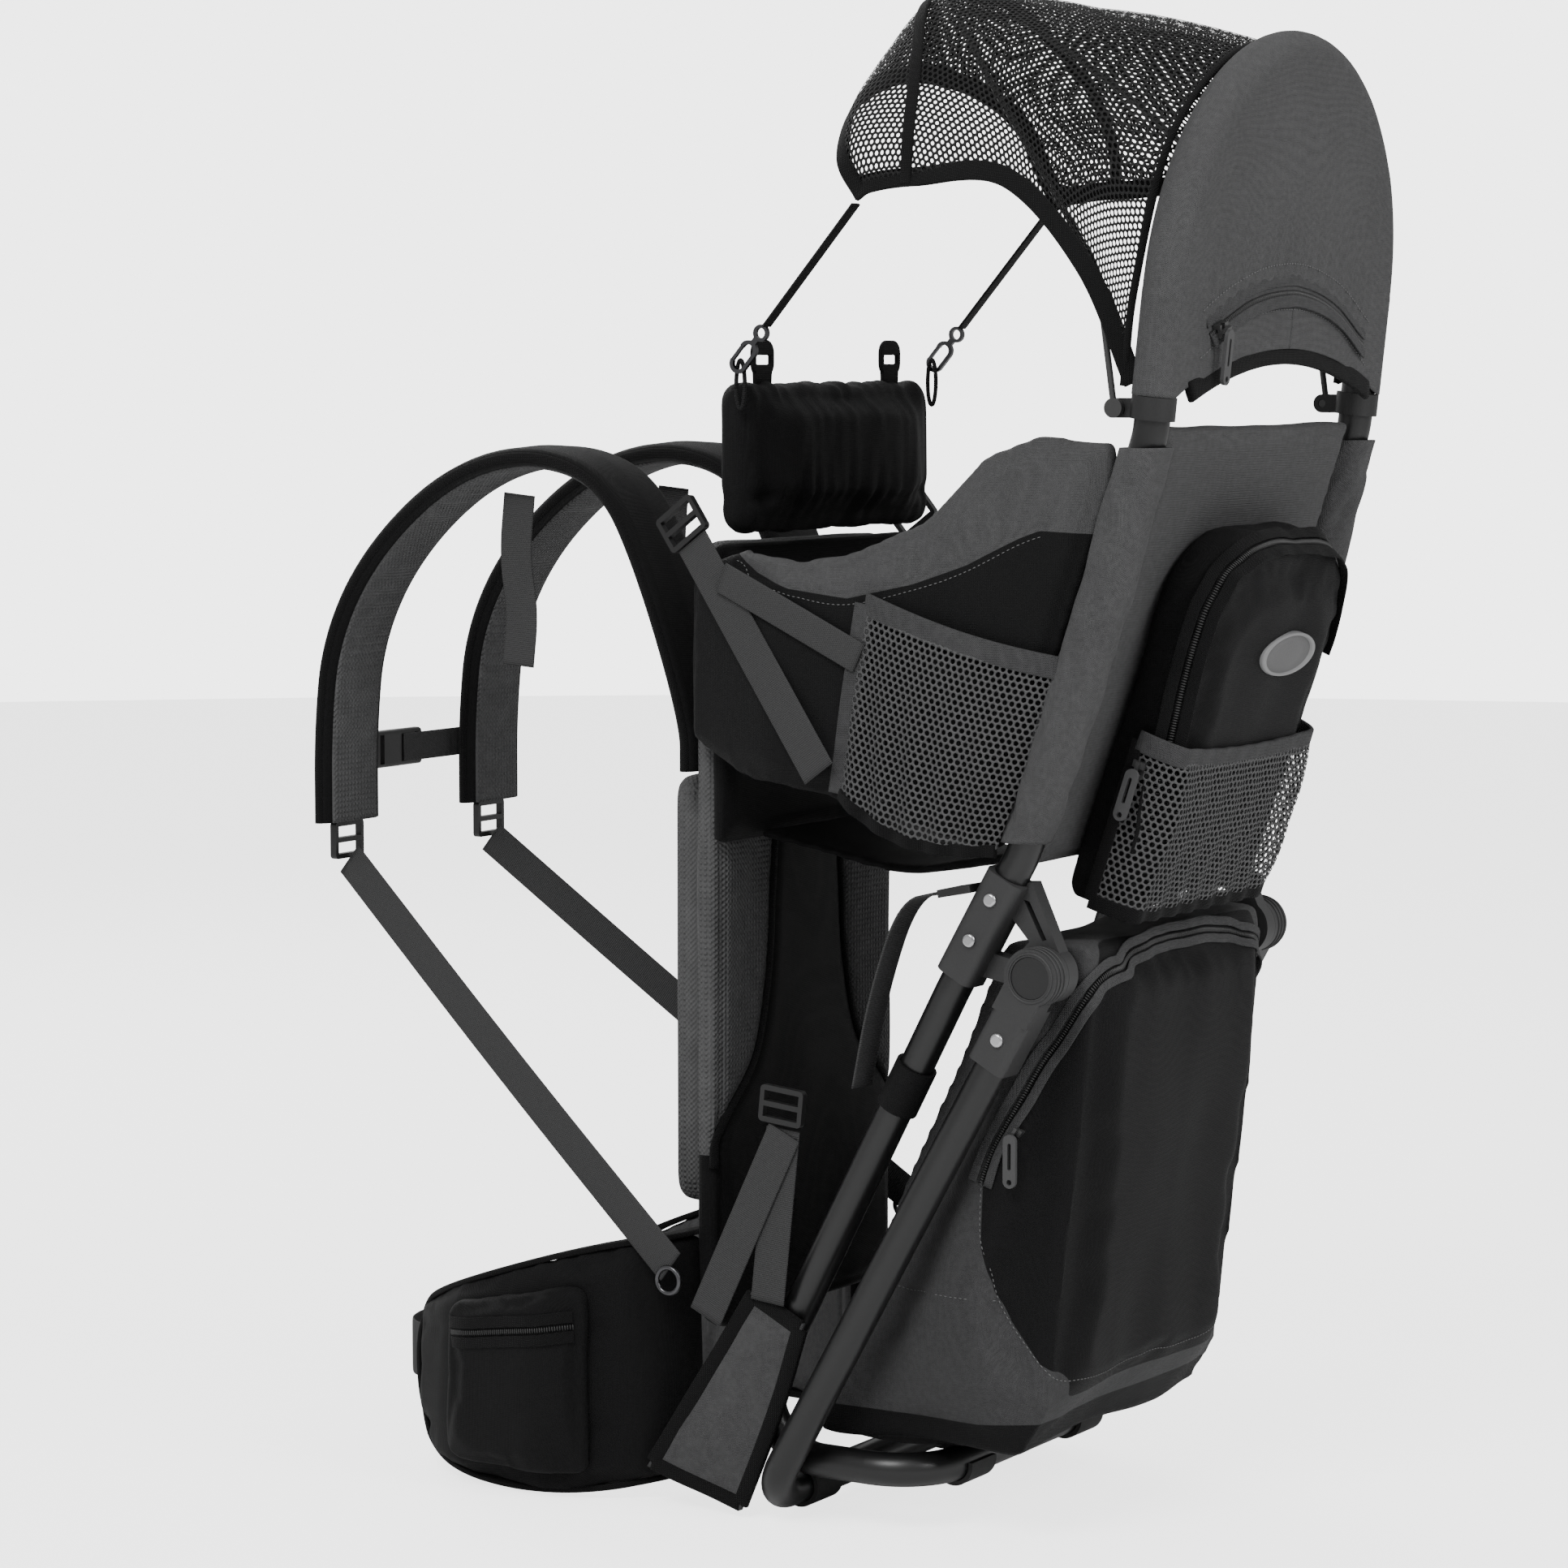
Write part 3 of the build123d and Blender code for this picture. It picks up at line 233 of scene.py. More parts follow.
def hard_material(name, colour, roughness, grain_size, depth, metallic=0.0, coat=0.0, marks=18.0):
    """Paint, plastic, rubber or metal: one colour with grain, marks and a bump."""
    material, tree, shader = new_material(name)
    where = tree.nodes.new("ShaderNodeTexCoord")
    group = place_group(tree, grain, Grain=grain_size, Marks=marks)
    tree.links.new(where.outputs["Object"], group.inputs["Vector"])
    tree.links.new(tint(tree, colour, group.outputs["Shade"]), shader.inputs["Base Color"])
    tree.links.new(
        calc(tree, "ADD", group.outputs["Roughness shift"], roughness), shader.inputs["Roughness"]
    )
    add_bump(tree, shader, group.outputs["Height"], depth)
    shader.inputs["Metallic"].default_value = metallic
    shader.inputs["Coat Weight"].default_value = coat
    shader.inputs["Coat Roughness"].default_value = 0.25
    return material


def dress(material, *names):
    """Gives CAD nodes their finish, through their object's material slots."""
    for name in names:
        for slot_number in range(len(nodes[name].material_slots)):
            nodes[name].material_slots[slot_number].material = material


satin_black = hard_material(
    "satin_black_powder_coat", (0.006, 0.006, 0.0062), 0.36, 2600.0, 0.00003, coat=0.15,
)
dress(satin_black, "upper_hoop_tube", "base_frame_tube", "kickstand_tube", "hub_cross_tube")

# ---------------------------------------------------------------- brackets, hinges and buckles
# Glass filled nylon mouldings: the brackets that join hoop and base loop, the leg sockets of
# the stand with their hinge hubs, and the acetal buckles and clips. The grain is spark eroded.
grey_nylon = hard_material("charcoal_moulded_nylon", (0.026, 0.026, 0.0265), 0.55, 1100.0, 0.00009)
black_acetal = hard_material("black_moulded_acetal", (0.009, 0.009, 0.0092), 0.45, 900.0, 0.00006)
dress(grey_nylon, "frame_bracket_left", "frame_bracket_right", "leg_sockets")
dress(black_acetal, "hub_caps", "bow_clips", "ladder_buckles", "belt_buckle_prong", "belt_buckle_socket",
      "sternum_buckle_prong", "sternum_buckle_socket")

# ---------------------------------------------------------------- rivets, hooks and zip metal
# Domed steel rivets through the sockets, dark plated snap hooks with sprung gates, and black
# enamelled zip sliders with soft moulded pulls. The feet are plain rubber clips on the tubes.
bright_steel = hard_material("bright_rivet_steel", (0.55, 0.55, 0.56), 0.28, 1800.0, 0.00004, metallic=1.0)
dark_plate = hard_material("dark_plated_steel", (0.10, 0.10, 0.105), 0.3, 1500.0, 0.00004, metallic=1.0)
zip_enamel = hard_material("black_zip_enamel", (0.03, 0.03, 0.03), 0.35, 1500.0, 0.00004, coat=0.3)
pull_rubber = hard_material("soft_pull_rubber", (0.055, 0.055, 0.056), 0.62, 800.0, 0.0001)
foot_rubber = hard_material("black_foot_rubber", (0.012, 0.012, 0.012), 0.75, 700.0, 0.00015)
dress(bright_steel, "bracket_rivets", "stand_rivets", "hinge_pins")
dress(dark_plate, "snap_hooks", "hook_gates")
dress(zip_enamel, "hood_zip_slider", "daypack_zip_slider", "bag_zip_slider", "canopy_bow")
dress(pull_rubber, "hood_zip_pull", "daypack_zip_pull", "bag_zip_pull")
dress(foot_rubber, "stand_foot_pads", "base_foot_pads")

# ---------------------------------------------------------------- hinge hub rings
# Three shallow ribs round each hinge hub and a rim round its cap, moulded with the leg socket,
# so that a gloved hand can find the hinge. They turn with the stand.
hub_centre = (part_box("hub_caps")[0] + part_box("hub_caps")[1]) / 2
hub_face_x = -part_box("leg_sockets")[0].x


def mesh_object(name, points, faces, material=None):
    """A new piece from points and faces, smooth shaded, at the origin."""
    mesh = bpy.data.meshes.new(name)
    mesh.from_pydata([tuple(p) for p in points], [], [list(f) for f in faces])
    mesh.validate()
    mesh.polygons.foreach_set("use_smooth", [True] * len(mesh.polygons))
    piece = bpy.data.objects.new(name, mesh)
    scene.collection.objects.link(piece)
    if material:
        mesh.materials.append(material)
    return piece


def settle(piece, body, stands_for=()):
    """Puts a finished piece on its body and hides the CAD parts it stands for."""
    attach(piece, body)
    if stands_for:
        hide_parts(*stands_for)
    return piece


def stuffed(piece, stands_for):
    """Settles a padded piece on the carrier."""
    settle(piece, "carrier", stands_for)


def outward(piece):
    """Merges doubles and turns every face of a closed shape outwards."""
    work = bmesh.new()
    work.from_mesh(piece.data)
    bmesh.ops.remove_doubles(work, verts=work.verts, dist=1e-6)
    bmesh.ops.recalc_face_normals(work, faces=work.faces)
    work.to_mesh(piece.data)
    work.free()
    return piece


ring_sizes = [
    (0.0181, 0.003, 0.0007), (0.0181, 0.0075, 0.0007), (0.0181, 0.012, 0.0007), (0.0152, 0.0, 0.0008),
]
ring_tree = bpy.data.node_groups.new("hub_rings", "GeometryNodeTree")
ring_tree.interface.new_socket("Geometry", in_out="INPUT", socket_type="NodeSocketGeometry")
for label, value in (("Ring radius", 0.018), ("Rib radius", 0.0008)):
    ring_tree.interface.new_socket(label, in_out="INPUT", socket_type="NodeSocketFloat").default_value = value
ring_tree.interface.new_socket("Finish", in_out="INPUT", socket_type="NodeSocketMaterial")
ring_tree.interface.new_socket("Geometry", in_out="OUTPUT", socket_type="NodeSocketGeometry")
ring_in, ring_out = ring_tree.nodes.new("NodeGroupInput"), ring_tree.nodes.new("NodeGroupOutput")
big_circle, rib_circle = (ring_tree.nodes.new("GeometryNodeCurvePrimitiveCircle") for _ in range(2))
big_circle.inputs["Resolution"].default_value = 72
rib_circle.inputs["Resolution"].default_value = 8
ring_sweep = ring_tree.nodes.new("GeometryNodeCurveToMesh")
ring_points = ring_tree.nodes.new("GeometryNodeMeshToPoints")
ring_place = ring_tree.nodes.new("GeometryNodeInstanceOnPoints")
ring_real = ring_tree.nodes.new("GeometryNodeRealizeInstances")
ring_finish = ring_tree.nodes.new("GeometryNodeSetMaterial")
ring_place.inputs["Rotation"].default_value = (0, math.pi / 2, 0)
for source, target in (
    (ring_in.outputs["Ring radius"], big_circle.inputs["Radius"]),
    (ring_in.outputs["Rib radius"], rib_circle.inputs["Radius"]),
    (big_circle.outputs["Curve"], ring_sweep.inputs["Curve"]),
    (rib_circle.outputs["Curve"], ring_sweep.inputs["Profile Curve"]),
    (ring_in.outputs["Geometry"], ring_points.inputs["Mesh"]),
    (ring_points.outputs["Points"], ring_place.inputs["Points"]),
    (ring_sweep.outputs["Mesh"], ring_place.inputs["Instance"]),
    (ring_place.outputs["Instances"], ring_real.inputs["Geometry"]),
    (ring_real.outputs["Geometry"], ring_finish.inputs["Geometry"]),
    (ring_in.outputs["Finish"], ring_finish.inputs["Material"]),
    (ring_finish.outputs["Geometry"], ring_out.inputs["Geometry"]),
):
    ring_tree.links.new(source, target)


def grow(name, seed_points, tree, values, edges=(), normals=None):
    """Runs a Geometry Nodes tree on points and returns its result as a plain mesh object."""
    mesh = bpy.data.meshes.new(name + "_seed")
    mesh.from_pydata([tuple(p) for p in seed_points], list(edges), [])
    if normals is not None:
        facing = mesh.attributes.new("facing", "FLOAT_VECTOR", "POINT")
        facing.data.foreach_set("vector", np.asarray(normals, np.float32).ravel())
    seed_object = bpy.data.objects.new(name + "_seed", mesh)
    scene.collection.objects.link(seed_object)
    modifier = seed_object.modifiers.new("grow", "NODES")
    modifier.node_group = tree
    for item in tree.interface.items_tree:
        if item.item_type == "SOCKET" and item.in_out == "INPUT" and item.name in values:
            modifier[item.identifier] = values[item.name]
    bpy.context.view_layer.update()
    evaluated = seed_object.evaluated_get(bpy.context.evaluated_depsgraph_get())
    made = bpy.data.meshes.new_from_object(evaluated)
    made.name = name
    seed_object.modifiers.clear()
    bpy.data.objects.remove(seed_object)
    piece = bpy.data.objects.new(name, made)
    scene.collection.objects.link(piece)
    made.polygons.foreach_set("use_smooth", [True] * len(made.polygons))
    return piece


for number, (ring_radius, inset, rib) in enumerate(ring_sizes):
    spots = [(side * (hub_face_x - inset), hub_centre.y, hub_centre.z) for side in (-1, 1)]
    values = {"Ring radius": ring_radius, "Rib radius": rib, "Finish": grey_nylon}
    settle(grow(f"hub_ring_{number}", spots, ring_tree, values), "stand")

# ---------------------------------------------------------------- hood behind the child's head
# Grey woven polyester, sewn as a sleeve round the top of the hoop and drawn flat across the
# back, with an arched zip pocket. The cloth is gathered a little above the zip and at the hem.
weave, weave_in, weave_out = shader_group(
    "woven_threads",
    [
        ("Vector", "NodeSocketVector", None), ("Threads", "NodeSocketFloat", 900.0),
        ("Slub", "NodeSocketFloat", 0.4),
    ],
    [("Height", "NodeSocketFloat"), ("Shade", "NodeSocketFloat"), ("Roughness shift", "NodeSocketFloat")],
)
scaled = weave.nodes.new("ShaderNodeVectorMath")
scaled.operation = "SCALE"
weave.links.new(weave_in.outputs["Vector"], scaled.inputs[0])
weave.links.new(calc(weave, "MULTIPLY", weave_in.outputs["Threads"], 2 * math.pi), scaled.inputs["Scale"])
apart = weave.nodes.new("ShaderNodeSeparateXYZ")
weave.links.new(scaled.outputs["Vector"], apart.inputs["Vector"])
wave_x, wave_y, wave_z = (calc(weave, "SINE", apart.outputs[axis]) for axis in ("X", "Y", "Z"))
crossed = calc(weave, "ADD", calc(weave, "MULTIPLY", wave_x, wave_y), calc(weave, "MULTIPLY", wave_y, wave_z))
crossed = calc(weave, "MULTIPLY_ADD", wave_z, wave_x, crossed)
slub = speckle(
    weave, weave_in.outputs["Vector"], calc(weave, "MULTIPLY", weave_in.outputs["Threads"], 0.3), 2.0,
)
cloudy = speckle(weave, weave_in.outputs["Vector"], 14.0, 3.0)
uneven = calc(weave, "MULTIPLY", calc(weave, "SUBTRACT", slub, 0.5), weave_in.outputs["Slub"])
weave.links.new(calc(weave, "MULTIPLY_ADD", crossed, 0.5, uneven), weave_out.inputs["Height"])
# The cloth's colour follows the weave. The tops of the threads are lighter and the gaps between them darker,
# which is painted shade in the weave's hollows. Random slub and cloudy tone are laid on top.
shade = calc(weave, "MULTIPLY_ADD", crossed, 0.10, calc(weave, "ADD", uneven, 0.86))
weave.links.new(calc(weave, "MULTIPLY_ADD", cloudy, 0.28, shade), weave_out.inputs["Shade"])
weave.links.new(calc(weave, "MULTIPLY_ADD", cloudy, 0.16, -0.08), weave_out.inputs["Roughness shift"])


def cloth_material(name, colour, threads=900.0, depth=0.00025, rough=0.78, sheen=0.03, second=None, slub=0.5):
    """Woven cloth. A second colour shows where the piece's own attribute tone is above zero."""
    material, tree, shader = new_material(name)
    where = tree.nodes.new("ShaderNodeTexCoord")
    group = place_group(tree, weave, Threads=threads, Slub=slub)
    tree.links.new(where.outputs["Object"], group.inputs["Vector"])
    if second:
        tone = tree.nodes.new("ShaderNodeAttribute")
        tone.attribute_name = "tone"
        edge = calc(tree, "MULTIPLY_ADD", tone.outputs["Fac"], 2500.0, 0.5)
        edge = calc(tree, "MINIMUM", calc(tree, "MAXIMUM", edge, 0.0), 1.0)
        chosen = tree.nodes.new("ShaderNodeMix")
        chosen.data_type = "RGBA"
        chosen.inputs["A"].default_value = (*colour, 1)
        chosen.inputs["B"].default_value = (*second, 1)
        tree.links.new(edge, chosen.inputs["Factor"])
        colour = chosen.outputs["Result"]
    tree.links.new(tint(tree, colour, group.outputs["Shade"]), shader.inputs["Base Color"])
    tree.links.new(calc(tree, "ADD", group.outputs["Roughness shift"], rough), shader.inputs["Roughness"])
    add_bump(tree, shader, group.outputs["Height"], depth)
    shader.inputs["Sheen Weight"].default_value = sheen
    shader.inputs["Sheen Roughness"].default_value = 0.5
    shader.inputs["Specular IOR Level"].default_value = 0.14
    return material


grey, black = (0.068, 0.068, 0.069), (0.0045, 0.0045, 0.0047)
grey_cloth = cloth_material("grey_woven_polyester", grey)
black_cloth = cloth_material("black_woven_nylon", black, threads=1100.0, rough=0.6, sheen=0.015)
black_binding = cloth_material(
    "black_binding_tape", (0.0045, 0.0045, 0.0046), threads=700.0, depth=0.0004, rough=0.8,
)
grey_binding = cloth_material(
    "grey_binding_tape", (0.055, 0.055, 0.056), threads=700.0, depth=0.0004, rough=0.8,
)

hoop_slope, seat_slope = 0.107, 0.33
tube_x = 0.147
hoop_bend, hoop_top, hood_low = 0.333, 0.567, 0.3563
arch_radius = 0.1465
bore = 0.0113


def seat_line(z):
    return -0.276 - seat_slope * (z - 0.075)


def hood_line(z):
    return seat_line(hoop_bend) - hoop_slope * (z - hoop_bend)


sides = (("left", 1), ("right", -1))


def unit(v):
    v = np.asarray(v, float)
    return v / np.maximum(np.linalg.norm(v, axis=-1, keepdims=True), 1e-12)


def flowing(points, step=0.004):
    """Points closely spaced along a smooth line through the given ones."""
    p = np.array(points, float)
    ends = np.vstack([2 * p[0] - p[1], p, 2 * p[-1] - p[-2]])
    out = []
    for i in range(1, len(ends) - 2):
        a, b, c, d = ends[i - 1:i + 3]
        n = max(2, int(np.linalg.norm(c - b) / step))
        t = np.linspace(0, 1, n, endpoint=False)[:, None]
        out.append(
            0.5 * (2 * b + (c - a) * t + (2 * a - 5 * b + 4 * c - d) * t**2 + (3 * b - a - 3 * c + d) * t**3)
        )
    return np.vstack([*out, p[-1:]])


def stretch(points, count):
    """A smooth line through the given points, at count even parameters."""
    p = np.array(points, float)
    ends = np.vstack([2 * p[0] - p[1], p, 2 * p[-1] - p[-2]])
    t = np.linspace(0, len(p) - 1, count)
    i = np.minimum(t.astype(int), len(p) - 2)
    t = (t - i)[:, None]
    a, b, c, d = ends[i], ends[i + 1], ends[i + 2], ends[i + 3]
    return 0.5 * (2 * b + (c - a) * t + (2 * a - 5 * b + 4 * c - d) * t**2 + (3 * b - a - 3 * c + d) * t**3)


def smooth_grid(control, row_count, column_count):
    """A dense grid of points through a coarse one."""
    wide = np.stack([stretch(row, column_count) for row in control])
    return np.stack([stretch(wide[:, j], row_count) for j in range(column_count)], axis=1)


def grid_normals(grid):
    along = np.gradient(grid, axis=0)
    across = np.gradient(grid, axis=1)
    return unit(np.cross(along, across))


def sheet_piece(name, grid, thickness, material):
    """A closed thin sheet on a grid of points, with a UV map in metres."""
    rows, columns = grid.shape[:2]
    lift = grid_normals(grid) * thickness / 2
    points = np.concatenate([(grid + lift).reshape(-1, 3), (grid - lift).reshape(-1, 3)])
    count = rows * columns
    faces = []
    for i in range(rows - 1):
        for j in range(columns - 1):
            a, d = i * columns + j, (i + 1) * columns + j
            b, c = a + 1, d + 1
            faces.append((a, d, c, b))
            faces.append((a + count, b + count, c + count, d + count))
    for i in range(rows - 1):
        for j, flip in ((0, False), (columns - 1, True)):
            a, d = i * columns + j, (i + 1) * columns + j
            quad = (a, a + count, d + count, d)
            faces.append(quad[::-1] if flip else quad)
    for j in range(columns - 1):
        for i, flip in ((0, True), (rows - 1, False)):
            a, b = i * columns + j, i * columns + j + 1
            quad = (a, a + count, b + count, b)
            faces.append(quad[::-1] if flip else quad)
    piece = outward(mesh_object(name, points, faces, material))
    u = np.cumsum(np.pad(np.linalg.norm(np.diff(grid, axis=1), axis=2), ((0, 0), (1, 0))), axis=1)
    v = np.cumsum(np.pad(np.linalg.norm(np.diff(grid, axis=0), axis=2), ((1, 0), (0, 0))), axis=0)
    u = u - u[:, columns // 2:columns // 2 + 1]
    flat = np.stack([u, v], axis=-1).reshape(-1, 2)
    flat = np.concatenate([flat, flat])
    uv = piece.data.uv_layers.new(name="cloth")
    corner = np.zeros(len(piece.data.loops), np.int32)
    piece.data.loops.foreach_get("vertex_index", corner)
    uv.data.foreach_set("uv", flat[corner].astype(np.float32).ravel())
    return piece


def points_of(piece):
    co = np.zeros(len(piece.data.vertices) * 3, np.float32)
    piece.data.vertices.foreach_get("co", co)
    return co.reshape(-1, 3).astype(float)


def normals_of(piece):
    no = np.zeros(len(piece.data.vertices) * 3, np.float32)
    piece.data.vertices.foreach_get("normal", no)
    return no.reshape(-1, 3).astype(float)


def move_points(piece, co):
    piece.data.vertices.foreach_set("co", co.astype(np.float32).ravel())
    piece.data.update()


def ruffle(co, stretch_by, size, seed=0.0):
    """Smooth noise from -1 to 1 at each point, stretched along the axes."""
    return np.array([noise.noise(Vector(p * stretch_by / size) + Vector((seed, seed, seed))) for p in co])


hood_rise = hoop_top - hood_low
leg_rise = hood_rise - arch_radius
hem_arc = 0.030


def hood_hem(x):
    return hem_arc * max(0.0, 1 - (x / tube_x) ** 2)


def zip_arc(x):
    """Height of the pocket's zip on the hood."""
    return 0.4235 - 0.0295 * ((x + 0.004) / 0.115) ** 2


hood_stations = []
for v in np.linspace(0, leg_rise, 34, endpoint=False):
    hood_stations.append(((-tube_x, v), (-1.0, 0.0), (0.0, v)))
for a in np.linspace(math.pi, 0, 86):
    edge_point = (arch_radius * math.cos(a), leg_rise + arch_radius * math.sin(a))
    hood_stations.append((edge_point, (math.cos(a), math.sin(a)), (0.0, leg_rise)))
for v in np.linspace(leg_rise, 0, 35)[1:]:
    hood_stations.append(((tube_x, v), (1.0, 0.0), (0.0, v)))
hood_rows = []
for (px, pv), (nx, nv), (qx, qv) in hood_stations:
    row = []
    for turn in np.radians(np.linspace(-62, 90, 13)):
        reach = bore + 0.0022
        row.append(
            (px + reach * math.cos(turn) * nx, pv + reach * math.cos(turn) * nv, reach * math.sin(turn))
        )
    for t in np.linspace(0, 0.999, 51)[1:]:
        row.append(
            (
                px + (qx - px) * t, pv + (qv - pv) * t,
                bore + 0.0022 - 0.0015 * math.sin(math.pi * min(1, 2 * t)),
            )
        )
    hood_rows.append(row)
hood_grid = np.array(hood_rows)
lift_hem = np.array([hood_hem(x) for x in hood_grid[..., 0].ravel()]).reshape(hood_grid.shape[:2])
hood_grid[..., 1] += lift_hem * np.clip(1 - hood_grid[..., 1] / leg_rise, 0, 1)
x, v, w = hood_grid[..., 0], hood_grid[..., 1], hood_grid[..., 2]
z_true = hood_low + v
on_panel = np.clip((w - 0.010) / 0.002, 0, 1) * np.clip((0.132 - np.abs(x)) / 0.02, 0, 1)
above_zip = z_true - np.array([zip_arc(c) for c in x.ravel()]).reshape(x.shape)
gathers = np.sin(x * 2 * math.pi / 0.0135 + 1.7 * np.sin(x * 60)) * np.exp(-np.clip(above_zip, 0, 1) / 0.03)
w += on_panel * np.where(
    above_zip > 0, 0.0008 * gathers * np.clip(above_zip / 0.016, 0, 1),
    0.0016 * np.clip(-above_zip / 0.006, 0, 1),
)
billow = ruffle(np.stack([x, v, w], -1).reshape(-1, 3), np.array([1, 0.6, 1]), 0.075, 3.0).reshape(x.shape)
w += on_panel * 0.0022 * billow * np.clip(np.abs(above_zip) / 0.025, 0, 1)
hood_grid = np.stack(
    [x, hood_line(hoop_bend) - hoop_slope * (z_true - hoop_bend) - w, z_true - w * hoop_slope], -1,
)
hood = sheet_piece("hood_cloth", hood_grid, 0.0012, grey_cloth)
settle(hood, "carrier", ["hood_panel"])


def surface(piece):
    return BVHTree.FromPolygons(
        [v.co for v in piece.data.vertices], [p.vertices for p in piece.data.polygons]
    )


def lay_on(tree, path, lift=0.0004, side=None):
    """A path dropped on a surface, with the surface's normal at each point."""
    spots, facing = [], []
    for point in path:
        spot, normal, _, _ = tree.find_nearest(Vector(point) + (Vector(side) * 0.01 if side else Vector()))
        spots.append(spot + normal * lift)
        facing.append(normal)
    spots, facing = np.array(spots), np.array(facing)
    for _ in range(5):
        spots[1:-1] = (spots[:-2] + 2 * spots[1:-1] + spots[2:]) / 4
        facing[1:-1] = (facing[:-2] + 2 * facing[1:-1] + facing[2:]) / 4
    return spots, unit(facing)


# A row of stitches or zip teeth: one small bead at each step of a path, lying on the cloth.
row_tree = bpy.data.node_groups.new("row_of_beads", "GeometryNodeTree")
row_tree.interface.new_socket("Geometry", in_out="INPUT", socket_type="NodeSocketGeometry")
for label, value in (
    ("Bead length", 0.0024), ("Bead width", 0.0006), ("Bead height", 0.0004), ("Pitch", 0.0034),
):
    row_tree.interface.new_socket(label, in_out="INPUT", socket_type="NodeSocketFloat").default_value = value
row_tree.interface.new_socket("Finish", in_out="INPUT", socket_type="NodeSocketMaterial")
row_tree.interface.new_socket("Geometry", in_out="OUTPUT", socket_type="NodeSocketGeometry")
row_in, row_out = row_tree.nodes.new("NodeGroupInput"), row_tree.nodes.new("NodeGroupOutput")
row_curve = row_tree.nodes.new("GeometryNodeMeshToCurve")
row_points = row_tree.nodes.new("GeometryNodeCurveToPoints")
row_points.mode = "LENGTH"
bead = row_tree.nodes.new("GeometryNodeMeshIcoSphere")
bead.inputs["Radius"].default_value = 0.5
bead.inputs["Subdivisions"].default_value = 1
bead_place = row_tree.nodes.new("GeometryNodeInstanceOnPoints")
bead_size = row_tree.nodes.new("ShaderNodeCombineXYZ")
turn_along = row_tree.nodes.new("FunctionNodeAlignRotationToVector")
turn_along.axis = "X"
turn_up = row_tree.nodes.new("FunctionNodeAlignRotationToVector")
turn_up.axis = "Z"
turn_up.pivot_axis = "X"
facing_node = row_tree.nodes.new("GeometryNodeInputNamedAttribute")
facing_node.data_type = "FLOAT_VECTOR"
facing_node.inputs["Name"].default_value = "facing"
row_real = row_tree.nodes.new("GeometryNodeRealizeInstances")
row_finish = row_tree.nodes.new("GeometryNodeSetMaterial")
for source, target in (
    (row_in.outputs["Geometry"], row_curve.inputs["Mesh"]),
    (row_curve.outputs["Curve"], row_points.inputs["Curve"]),
    (row_in.outputs["Pitch"], row_points.inputs["Length"]),
    (row_points.outputs["Points"], bead_place.inputs["Points"]),
    (bead.outputs["Mesh"], bead_place.inputs["Instance"]),
    (row_in.outputs["Bead length"], bead_size.inputs["X"]),
    (row_in.outputs["Bead width"], bead_size.inputs["Y"]),
    (row_in.outputs["Bead height"], bead_size.inputs["Z"]),
    (bead_size.outputs["Vector"], bead_place.inputs["Scale"]),
    (row_points.outputs["Tangent"], turn_along.inputs["Vector"]),
    (turn_along.outputs["Rotation"], turn_up.inputs["Rotation"]),
    (facing_node.outputs["Attribute"], turn_up.inputs["Vector"]),
    (turn_up.outputs["Rotation"], bead_place.inputs["Rotation"]),
    (bead_place.outputs["Instances"], row_real.inputs["Geometry"]),
    (row_real.outputs["Geometry"], row_finish.inputs["Geometry"]),
    (row_in.outputs["Finish"], row_finish.inputs["Material"]),
    (row_finish.outputs["Geometry"], row_out.inputs["Geometry"]),
):
    row_tree.links.new(source, target)

thread = hard_material("grey_sewing_thread", (0.12, 0.12, 0.121), 0.7, 900.0, 0.0001)
coil_nylon = hard_material("black_zip_coil", (0.022, 0.022, 0.022), 0.4, 900.0, 0.00005)
stitch_size = {"Bead length": 0.0027, "Bead width": 0.0007, "Bead height": 0.0006, "Pitch": 0.0037}
tooth_size = {"Bead length": 0.0012, "Bead width": 0.0046, "Bead height": 0.0020, "Pitch": 0.0017}


def bead_row(name, lines, tree, size, finish, body="carrier", lift=0.0003, side=None):
    """Rows of beads along lines laid on a surface."""
    points, edges, facing = [], [], []
    for line in lines:
        spots, normals = lay_on(tree, line, lift, side)
        edges += [(len(points) + i, len(points) + i + 1) for i in range(len(spots) - 1)]
        points += list(spots)
        facing += list(normals)
    piece = grow(name, points, row_tree, {**size, "Finish": finish}, edges, facing)
    return settle(piece, body)


